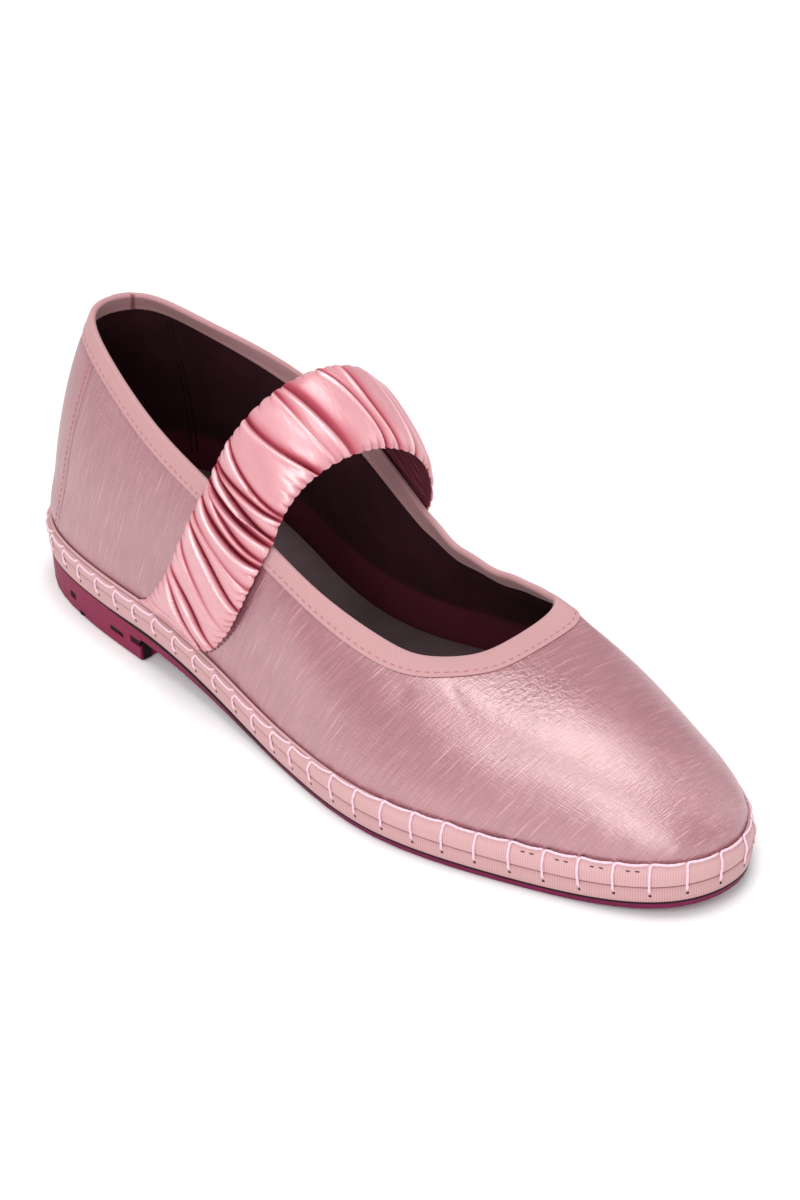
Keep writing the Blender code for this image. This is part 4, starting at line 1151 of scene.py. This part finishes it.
def makeCounter():
    look = counterLook
    share = np.linspace(-1.0, 1.0, look["columns"])[:, None]
    up = np.linspace(0.0, 1.0, look["levels"])[None, :]
    positions = np.where(share < 0.0, -share * counterPlace(outer, up), share * counterPlace(inner, up))
    shape = positions.shape
    flat = positions.ravel()
    reach = counterReach(flat, np.broadcast_to(up, shape).ravel())[:, None]
    edge = smoothStep((1.0 - np.abs(share)) * look["sideSharp"])
    edge = edge * smoothStep(up * look["endSharp"]) * smoothStep((1.0 - up) * look["endSharp"])
    relief = silkRelief(flat, reach)
    skin = wallOffset(flat, reach, relief + look["edge"] + (look["thick"] * edge).reshape(-1, 1))
    under = wallOffset(flat, reach, relief + look["under"])
    points = np.concatenate((skin.reshape(shape + (3,)), under.reshape(shape + (3,))[:, ::-1]), axis=1)
    rows, columns = points.shape[:2]
    heights = np.concatenate((reach.reshape(shape), reach.reshape(shape)[:, ::-1]), axis=1)
    around = np.tile(positions * outlineLength, (1, 2))
    cloth = np.stack((heights, around), axis=-1) * clothScale
    cloth = np.concatenate((cloth, cloth[:, :1]), axis=1)
    closing = [list(range(columns))[::-1], list(range((rows - 1) * columns, rows * columns))]
    flatCloth = np.zeros((rows, columns))
    makePiece("heelCounter", points, gridQuads(rows, columns, False, True), [dupioniSilk],
              ("heel_counter",), uv=cornersOf(cloth), closing=closing, marks={"crinkle": flatCloth})


# One row of stitches up each side of the counter
def makeCounterSeams():
    look = {"length": 1.5, "radius": 0.17, "bow": 0.08}
    rise = np.linspace(0.03, 0.97, 26)
    for side, label in ((outer, "Outer"), (inner, "Inner")):
        at = np.array([float(counterPlace(side, value)) for value in rise])
        at = at - np.sign(at) * counterLook["stitchIn"] / outlineLength
        reach = counterReach(at, rise)
        offset = counterLook["thick"] + counterLook["stitchUp"] + silkRelief(at, reach[:, None])
        wallStitches("counterStitches" + label, at, reach, offset, look, pinkThread)


# Two rows of dark stitches up the lining, where its heel piece is joined on each side
def makeLiningSeams():
    look = {"along": 10.2, "apart": 2.0, "up": 0.2, "length": 1.4, "radius": 0.28, "bow": 0.15}
    rise = np.linspace(0.06, 0.94, 30)
    for side, label in ((outer, "Outer"), (inner, "Inner")):
        for number in (0, 1):
            at = loopPosition(side, np.full(len(rise), look["along"] + look["apart"] * number))
            length = wallLength(at)
            reach = (length[:, 0] - shoe["bindingInside"]) * rise
            depth = liningDepth(length, reach[:, None]) + look["up"]
            wallStitches("liningStitches%s%d" % (label, number), at, reach, -depth, look, shadowAndThreadBlack)


makeCounter()
makeCounterSeams()
makeLiningSeams()


# Insole: a thin foam sock on the midsole, its top edge rounded
def makeInsole():
    look = {"clear": 0.9, "thick": 3.5, "corner": 0.5, "cornerPoints": 4, "points": 360, "columns": 15}
    positions = evenPositions(look["points"])
    base, top = shoe["randBase"], shoe["randBase"] + look["thick"]
    turn = np.linspace(0.0, math.pi / 2.0, look["cornerPoints"])
    insets = np.concatenate(((0.0,), look["corner"] * (1.0 - np.cos(turn))))
    insets = insets + (shoe["upperInset"] + shoe["wall"] + look["clear"])
    heights = np.concatenate(((base,), top - look["corner"] + look["corner"] * np.sin(turn)))
    edges = [edgePoints(inset, positions) for inset in insets]
    levels = [keel(edge[:, 1]) + height for edge, height in zip(edges, heights)]
    walls = np.array([np.column_stack(pair) for pair in zip(edges, levels)])
    made = makeSlab("insoleSock", walls, lambda along: keel(along) + base, lambda along: keel(along) + top,
                    look["columns"], insoleCloth, ("insole",),
                    {"shade": np.zeros(walls.shape[:2])})


makeInsole()

# Gathered strap. Rows run from the outer rand over the instep to the inner rand, columns from back edge to
# front. On the wall it follows the upper, then an ellipse lifts it to its crown
strapLook = {
    "backFoot": 59.0, "backTop": 86.0, "backCrown": 97.5, "backHigh": 92.0,
    "frontFoot": 86.5, "frontTop": 116.5, "frontCrown": 120.0, "frontHigh": 78.0, "crownAcross": 1.2,
    "foot": -1.4, "past": 2.5, "clear": 0.3, "clearBy": 0.7, "sweep": 0.6, "startAngle": 12.0,
    "archPower": 0.82, "wallPoints": 40, "archPoints": 81, "rows": 960, "columns": 45, "backColumns": 13,
    "width": 30.0, "edge": 0.45, "crown": 2.7, "roundPower": 2.6, "roundness": 0.55, "least": 0.25,
    "endFlat": 0.12, "endFade": 14.0, "deepest": 0.8, "ridge": 0.3, "ridgePower": 6, "smallFolds": 20,
    "smallDeep": 0.32, "smallHalf": 0.6, "gather": 0.65, "gatherHalf": 0.5, "gatherLong": 3.0,
    "gatherSlant": 0.25, "scallop": 0.55, "scallopHalf": 0.8, "scallopLong": 1.5,
    "backLift": 0.1, "backRipple": 0.3, "ripplePitch": 3.1, "rippleSlant": 3.0, "backPull": 0.6,
}

# Valleys of the main folds: place as a percentage of the strap's length at its back edge, middle and front
# edge, depth at the same three places, and width, in millimetres
foldRows = (
    (10.5, 5.8, 0.8, 0.5, 1.5, 1.3, 0.8),
    (12.0, 9.0, 4.8, 0.7, 1.7, 0.9, 1.0),
    (17.0, 13.5, 10.5, 1.0, 0.7, 0.3, 1.0),
    (20.5, 18.4, 15.8, 0.9, 1.9, 1.3, 0.8),
    (22.0, 21.0, 20.5, 1.0, 0.6, 0.9, 0.9),
    (24.8, 23.4, 24.6, 1.2, 2.1, 1.6, 0.9),
    (27.2, 25.2, 25.8, 0.3, 1.5, 1.2, 0.8),
    (27.4, 27.0, 28.4, 1.8, 2.0, 1.5, 0.9),
    (30.0, 29.1, 29.6, 1.6, 2.2, 1.6, 0.9),
    (30.8, 31.2, 33.1, 1.4, 1.7, 1.5, 0.8),
    (34.6, 33.1, 33.9, 1.2, 1.4, 1.4, 0.7),
    (38.4, 39.4, 42.3, 1.5, 1.3, 1.8, 0.9),
    (43.6, 44.3, 45.6, 1.2, 0.6, 0.5, 0.8),
    (45.1, 46.7, 48.4, 1.2, 1.2, 1.0, 1.6),
    (50.4, 52.9, 54.4, 1.3, 1.2, 1.6, 0.8),
    (54.2, 55.0, 57.2, 0.9, 1.2, 1.0, 1.2),
    (58.6, 60.0, 61.0, 1.4, 1.3, 1.5, 0.9),
    (63.5, 63.8, 65.8, 1.2, 1.6, 1.2, 0.9),
    (67.5, 66.8, 68.0, 1.6, 1.5, 1.6, 0.9),
    (70.2, 70.8, 70.2, 1.2, 2.0, 1.3, 0.9),
    (73.6, 72.8, 73.4, 1.6, 1.9, 1.6, 0.9),
    (76.0, 76.4, 75.6, 1.3, 1.8, 1.5, 0.9),
    (79.5, 80.4, 80.9, 1.2, 1.7, 0.9, 0.9),
    (83.0, 84.6, 86.5, 1.0, 1.5, 1.4, 0.9),
    (88.5, 90.5, 93.8, 0.8, 1.6, 1.2, 1.0),
    (92.0, 95.2, 98.6, 0.6, 1.4, 1.2, 0.9),
)


def strapLines(shares):
    look = strapLook
    foot = look["backFoot"] + (look["frontFoot"] - look["backFoot"]) * shares[None, :]
    top = look["backTop"] + (look["frontTop"] - look["backTop"]) * shares[None, :]
    climb = np.linspace(0.0, 1.0, look["wallPoints"])[:, None]
    walls = []
    for side in (outer, inner):
        along = foot + (top - foot) * climb ** look["sweep"]
        flat = loopPosition(side, along).ravel()
        up = np.broadcast_to(climb, along.shape).reshape(-1, 1)
        reach = look["foot"] + (wallLength(flat) - look["foot"] + look["past"]) * up
        over = shoe["bindingLeaf"] + shoe["overlayGap"]
        clear = look["clear"] + over * smoothStep(up / look["clearBy"])
        clear = clear + footSwell(alongAt(flat)[:, None], reach)
        walls.append(wallOffset(flat, reach, clear).reshape(along.shape + (3,)))
    begin, end = walls[0][-1], walls[1][-1]
    first = math.radians(look["startAngle"])
    angle = np.linspace(first, math.pi - first, look["archPoints"])[1:-1]
    share = (0.5 - 0.5 * np.cos(angle) / math.cos(first))[:, None, None]
    lift = (((np.sin(angle) - math.sin(first)) / (1.0 - math.sin(first))) ** look["archPower"])[:, None]
    arch = begin[None] + (end - begin)[None] * share
    crownAlong = look["backCrown"] + (look["frontCrown"] - look["backCrown"]) * shares
    crownHigh = look["backHigh"] + (look["frontHigh"] - look["backHigh"]) * shares
    middle = (begin + end) / 2.0
    arch[:, :, 0] += look["crownAcross"] * lift
    arch[:, :, 1] += (crownAlong - middle[:, 1])[None] * lift
    arch[:, :, 2] += (crownHigh - middle[:, 2])[None] * lift
    return np.concatenate((walls[0], arch, walls[1][::-1]), axis=0)


# Even rows along each column of the strap
def evenRows(lines, count):
    columns = np.swapaxes(lines, 0, 1)
    length = pathLength(columns)
    places = np.linspace(0.0, 1.0, count)[None, :] * length[:, -1:]
    return np.swapaxes(pointsAlong(columns, length, places), 0, 1), length[:, -1].mean()


# A quadratic through the values at 0, a half and 1
def throughThree(first, half, final, share):
    ends = first * (1.0 - share) * (1.0 - 2.0 * share) + final * share * (2.0 * share - 1.0)
    return ends + half * 4.0 * share * (1.0 - share)


# Distance from places to the nearest of sorted marks
def nearest(marks, places):
    after = np.clip(np.searchsorted(marks, places), 1, len(marks) - 1)
    return np.minimum(np.abs(places - marks[after - 1]), np.abs(marks[after] - places))


# Main folds: each valley falls steeply behind a crisp crest on its lower side and climbs back slowly, as a
# sum of exponentials, into a broad puff on its upper side; the other results mark the valleys' floors and
# crests, where the satin takes its painted shade and painted highlight
def mainFolds(run, share, length):
    look = {"near": 1.3, "nearPower": 1.4, "far": 4.0, "steep": 0.5, "floor": 1.7, "floorPower": 1.2,
            "floorSteep": 0.3, "crest": 1.1, "crestHalf": 0.55}
    sunk = np.zeros(np.broadcast_shapes(run.shape, share.shape))
    floor, ridge = np.zeros_like(sunk), np.zeros_like(sunk)
    for back, half, front, deepBack, deepHalf, deepFront, wide in foldRows:
        past = run - throughThree(back, half, front, share) * length / 100.0
        depth = np.maximum(throughThree(deepBack, deepHalf, deepFront, share), 0.0)
        climb = np.maximum(past, 0.0) / wide
        fall = np.minimum(past, 0.0) / wide
        slope = np.exp(-(climb / look["near"]) ** look["nearPower"]) + np.exp(-climb / look["far"])
        sunk = np.maximum(sunk, depth * slope / 2.0 * bell(fall / look["steep"]))
        bottom = np.exp(-(climb / look["floor"]) ** look["floorPower"]) * bell(fall / look["floorSteep"])
        floor = np.maximum(floor, depth * bottom)
        ridge = np.maximum(ridge, depth * bell((past + look["crest"] * wide) / look["crestHalf"]))
    return sunk, floor, ridge


# Small folds between the main ones: thin shallow valleys at random places, slanting with their neighbours
def smallFolds(run, share, length):
    look = strapLook
    seeds = np.random.default_rng(21)
    sunk = np.zeros(np.broadcast_shapes(run.shape, share.shape))
    for place in np.linspace(0.03, 0.97, look["smallFolds"]):
        beside = share - 0.5
        shift = seeds.uniform(-2.2, 2.2) + seeds.uniform(-3.0, 6.0) * beside
        shift = shift + seeds.uniform(-2.0, 2.0) * beside ** 2
        window = bell((share - seeds.uniform(0.05, 0.95)) / seeds.uniform(0.18, 0.45))
        away = np.abs(run - place * length - shift)
        depth = look["smallDeep"] * seeds.uniform(0.5, 1.2) * window
        sunk = np.maximum(sunk, depth * np.exp(-away / look["smallHalf"]))
    return sunk


# Small gathers along both edges: scallops between irregular cusps, and from each cusp a short fading fold
def edgeGathers(run, share):
    look = strapLook
    sunk = np.zeros(np.broadcast_shapes(run.shape, share.shape))
    pull = np.zeros_like(sunk)
    for edge, seed in ((0.0, 3), (1.0, 8)):
        seeds = np.random.default_rng(seed)
        marks = np.cumsum(seeds.uniform(2.2, 4.4, 110)) - 5.0
        inwards = np.abs(share - edge) * look["width"]
        away = nearest(marks, run + look["gatherSlant"] * inwards)
        fading = np.exp(-away / look["gatherHalf"] - inwards / look["gatherLong"])
        sunk = np.maximum(sunk, look["gather"] * fading)
        scallop = look["scallop"] * (0.5 - np.exp(-away / look["scallopHalf"]))
        pull = pull + (2.0 * edge - 1.0) * scallop * bell(inwards / look["scallopLong"])
    return sunk, pull


def makeStrap():
    look = strapLook
    even = np.linspace(0.0, 1.0, look["columns"])
    shares = 0.5 * even + 0.5 * (0.5 - 0.5 * np.cos(math.pi * even))
    grid, length = evenRows(strapLines(shares), look["rows"])
    forward = np.gradient(grid, axis=0)
    sideways = np.gradient(grid, shares, axis=1)
    normal = np.cross(forward, sideways)
    normal /= np.linalg.norm(normal, axis=2, keepdims=True)
    across = sideways / np.linalg.norm(sideways, axis=2, keepdims=True)
    run = np.linspace(0.0, length, look["rows"])[:, None]
    share = shares[None, :]
    sunk, floor, ridge = mainFolds(run, share, length)
    small, pull = edgeGathers(run, share)
    small = np.maximum(small, smallFolds(run, share, length))
    away = np.abs(share * 2.0 - 1.0)
    inwards = smoothStep(np.minimum(run, length - run) / look["endFade"])
    ends = look["endFlat"] + (1.0 - look["endFlat"]) * inwards
    body = look["edge"] + look["crown"] * (1.0 - away ** look["roundPower"]) ** look["roundness"] * ends
    lifted = look["ridge"] * ridge * (1.0 - away ** look["ridgePower"]) * ends
    fallen = np.minimum(np.maximum(sunk, small), body * look["deepest"])
    height = np.maximum(body + lifted - fallen, look["least"])
    outside = grid + normal * height[:, :, None] + across * pull[:, :, None]
    pick = np.round(np.linspace(1, look["columns"] - 2, look["backColumns"])).astype(int)
    waves = np.sin(2.0 * math.pi * (run + look["rippleSlant"] * share[:, pick]) / look["ripplePitch"])
    ripple = look["backLift"] + look["backRipple"] * waves * (1.0 - away[:, pick] ** 2)
    pulled = across[:, pick] * pull[:, pick, None] * look["backPull"]
    inside = grid[:, pick] + normal[:, pick] * ripple[:, :, None] + pulled
    points = np.concatenate((outside, inside[:, ::-1]), axis=1)
    rows, columns = points.shape[:2]
    wide = np.concatenate((shares, shares[pick][::-1], shares[:1])) * look["width"]
    cloth = np.stack(np.meshgrid(run[:, 0], wide, indexing="ij"), axis=-1) * clothScale
    bare = np.zeros((rows, len(pick)))
    # The fold mark places the satin's painted shade and the crest mark its painted highlight
    shown = {"floor": 1.6, "small": 0.6, "ridge": 1.8}
    deep = np.maximum(floor / shown["floor"], small * shown["small"])
    fold = np.concatenate((np.clip(deep, 0.0, 1.0), bare), axis=1)
    crest = np.concatenate((np.clip(ridge / shown["ridge"], 0.0, 1.0), bare), axis=1)
    column = np.arange(columns)
    twill = (column >= look["columns"]) & (column < columns - 1)
    closing = [list(range(columns))[::-1], list(range((rows - 1) * columns, rows * columns))]
    made = makePiece("strapGathered", points, gridQuads(rows, columns, False, True), [strapSatin, strapTwill],
                     ("strap",), uv=cornersOf(cloth), closing=closing,
                     marks={"fold": fold, "crest": crest, "shade": np.zeros_like(fold)},
                     faceSlots=np.tile(twill.astype(int), rows - 1))


# Dark stitches down the foot of the strap's front edge, where it is sewn to the wall
def makeStrapSeams():
    look, stitch = strapLook, {"length": 1.2, "radius": 0.2, "bow": 0.1, "up": 0.2, "ahead": 0.5}
    climb = np.linspace(0.03, 0.52, 15)
    for side, label in ((outer, "Outer"), (inner, "Inner")):
        along = look["frontFoot"] + (look["frontTop"] - look["frontFoot"]) * climb ** look["sweep"]
        at = loopPosition(side, along + stitch["ahead"])
        reach = look["foot"] + (wallLength(at)[:, 0] - look["foot"] + look["past"]) * climb
        offset = stitch["up"] + footSwell(alongAt(at)[:, None], reach[:, None])
        wallStitches("strapStitches" + label, at, reach, offset, stitch, redThread)


makeStrap()
makeStrapSeams()

# The outsole's own solid shows, in moulded rubber
nodes["outsole"].data.materials.clear()
nodes["outsole"].data.materials.append(soleRubber)

# Painted shadow: dark boxes in the heel's recesses and the hollow corners of its breast: along, length,
# middle height and height
recessRows = ((25.5, 3.2, 4.8, 2.2), (30.5, 3.0, 0.9, 1.6), (49.0, 6.4, 4.6, 1.6), (58.0, 3.6, 5.7, 2.2),
              (60.9, 0.5, 3.4, 5.6))


def makeRecesses():
    look = {"inset": 0.3, "slack": 0.12, "near": 0.45, "far": 3.4}
    boxes = []
    for along, length, middle, high in recessRows:
        for side in (outer, inner):
            edge = edgePoints(look["inset"], loopPosition(side, along))[0]
            across = edge - side * np.array((look["near"], look["far"]))
            halves = (length / 2.0 - look["slack"], high / 2.0 - look["slack"])
            corners = [(x, along + y * halves[0], middle + z * halves[1])
                       for x in across for y, z in ((-1, -1), (1, -1), (1, 1), (-1, 1))]
            boxes.append(corners)
    points = np.array(boxes)
    one = np.array(((0, 1, 2, 3), (7, 6, 5, 4), (0, 4, 5, 1), (1, 5, 6, 2), (2, 6, 7, 3), (3, 7, 4, 0)))
    flipped = one[:, ::-1]
    turns = [flipped if number % 2 else one for number in range(len(boxes))]
    quads = np.vstack([8 * number + turn for number, turn in enumerate(turns)])
    makePiece("recessShadow", points, quads, [shadowAndThreadBlack])


# Painted shadow in the gap between the wrap and the outsole: a dark line, thin at heel and toe, thick at the
# waist
def makeGapShadowLine():
    look = {"points": 600, "first": 35.0, "last": 135.0, "fade": 30.0, "high": 0.7, "waistHigh": 0.15,
            "waistOut": 0.32, "base": -0.3}
    positions = evenPositions(look["points"])
    along = alongAt(positions)[:, None]
    waist = smoothStep((along - look["first"]) / look["fade"])
    waist = waist * smoothStep((look["last"] - along) / look["fade"])
    high = look["high"] + look["waistHigh"] * waist
    inset = np.tile((0.45, 0.1, 0.1, 0.45, 1.2, 1.2), (len(positions), 1))
    low = np.full(high.shape, look["base"])
    height = np.concatenate((low - 0.12, low, low + high, low + high + 0.2, low + high, low - 0.05), axis=1)
    points = bandPoints(positions, inset - look["waistOut"] * waist, height)
    rows, columns = points.shape[:2]
    makePiece("gapShadowLine", points, gridQuads(rows, columns, True, True), [shadowAndThreadBlack])


makeRecesses()
makeGapShadowLine()

# Studio: pale floor, soft boxes and the photograph's viewpoint, turned so that the shoe fills the picture
studio = {
    "camera": (-0.44068, -0.49644, 0.46507), "aim": (0.00896, -0.00095, 0.03), "roll": -0.03155, "lens": 89.1,
    "sensor": 36.0, "floor": "#F6F6F6", "floorReach": 6.0, "world": 0.55, "lightAim": (0.0, 0.0, 0.03),
}

# Soft boxes: name, place, size and power
lightRows = (
    ("key", (0.02, 0.0, 1.25), (0.65, 0.8), 9.0),
    ("front", (-0.78, -0.36, 0.84), (0.62, 0.5), 4.8),
    ("low", (-1.08, -0.76, 0.46), (0.5, 0.72), 5.2),
    ("inside", (0.98, -0.56, 0.56), (0.8, 0.6), 2.6),
)


# The turn that points a lamp or camera from its place at an aim
def facingTurn(place, aim):
    return (Vector(aim) - Vector(place)).to_track_quat("-Z", "Y")


def makeLight(name, place, size, power):
    light = bpy.data.lights.new(name, "AREA")
    light.shape = "RECTANGLE"
    light.size, light.size_y = size
    light.energy = power
    lamp = bpy.data.objects.new(name, light)
    lamp.location = place
    lamp.rotation_euler = facingTurn(place, studio["lightAim"]).to_euler()
    bpy.context.scene.collection.objects.link(lamp)


def makeFloor():
    mesh = bpy.data.meshes.new("floor")
    reach = studio["floorReach"]
    corners = [(-reach, -reach, 0.0), (reach, -reach, 0.0), (reach, reach, 0.0), (-reach, reach, 0.0)]
    mesh.from_pydata(corners, [], [(0, 1, 2, 3)])
    material = startMaterial("paleFloor", **{
        "Base Color": hexColour(studio["floor"]), "Roughness": 0.8, "Specular IOR Level": 0.1})[0]
    mesh.materials.append(material)
    floor = bpy.data.objects.new("floor", mesh)
    bpy.context.scene.collection.objects.link(floor)


def makeWorld():
    world = bpy.data.worlds.new("studio")
    world.use_nodes = True
    background = world.node_tree.nodes["Background"]
    background.inputs["Color"].default_value = (1.0, 1.0, 1.0, 1.0)
    background.inputs["Strength"].default_value = studio["world"]
    bpy.context.scene.world = world


def makeCamera():
    camera = bpy.data.cameras.new("camera")
    camera.lens = studio["lens"]
    camera.sensor_width = studio["sensor"]
    seat = bpy.data.objects.new("camera", camera)
    seat.location = studio["camera"]
    level = facingTurn(studio["camera"], studio["aim"])
    seat.rotation_euler = (level @ Quaternion((0.0, 0.0, 1.0), studio["roll"])).to_euler()
    bpy.context.scene.collection.objects.link(seat)
    bpy.context.scene.camera = seat
    bpy.context.scene.view_settings.view_transform = "Standard"


makeFloor()
makeWorld()
for row in lightRows:
    makeLight(*row)
makeCamera()
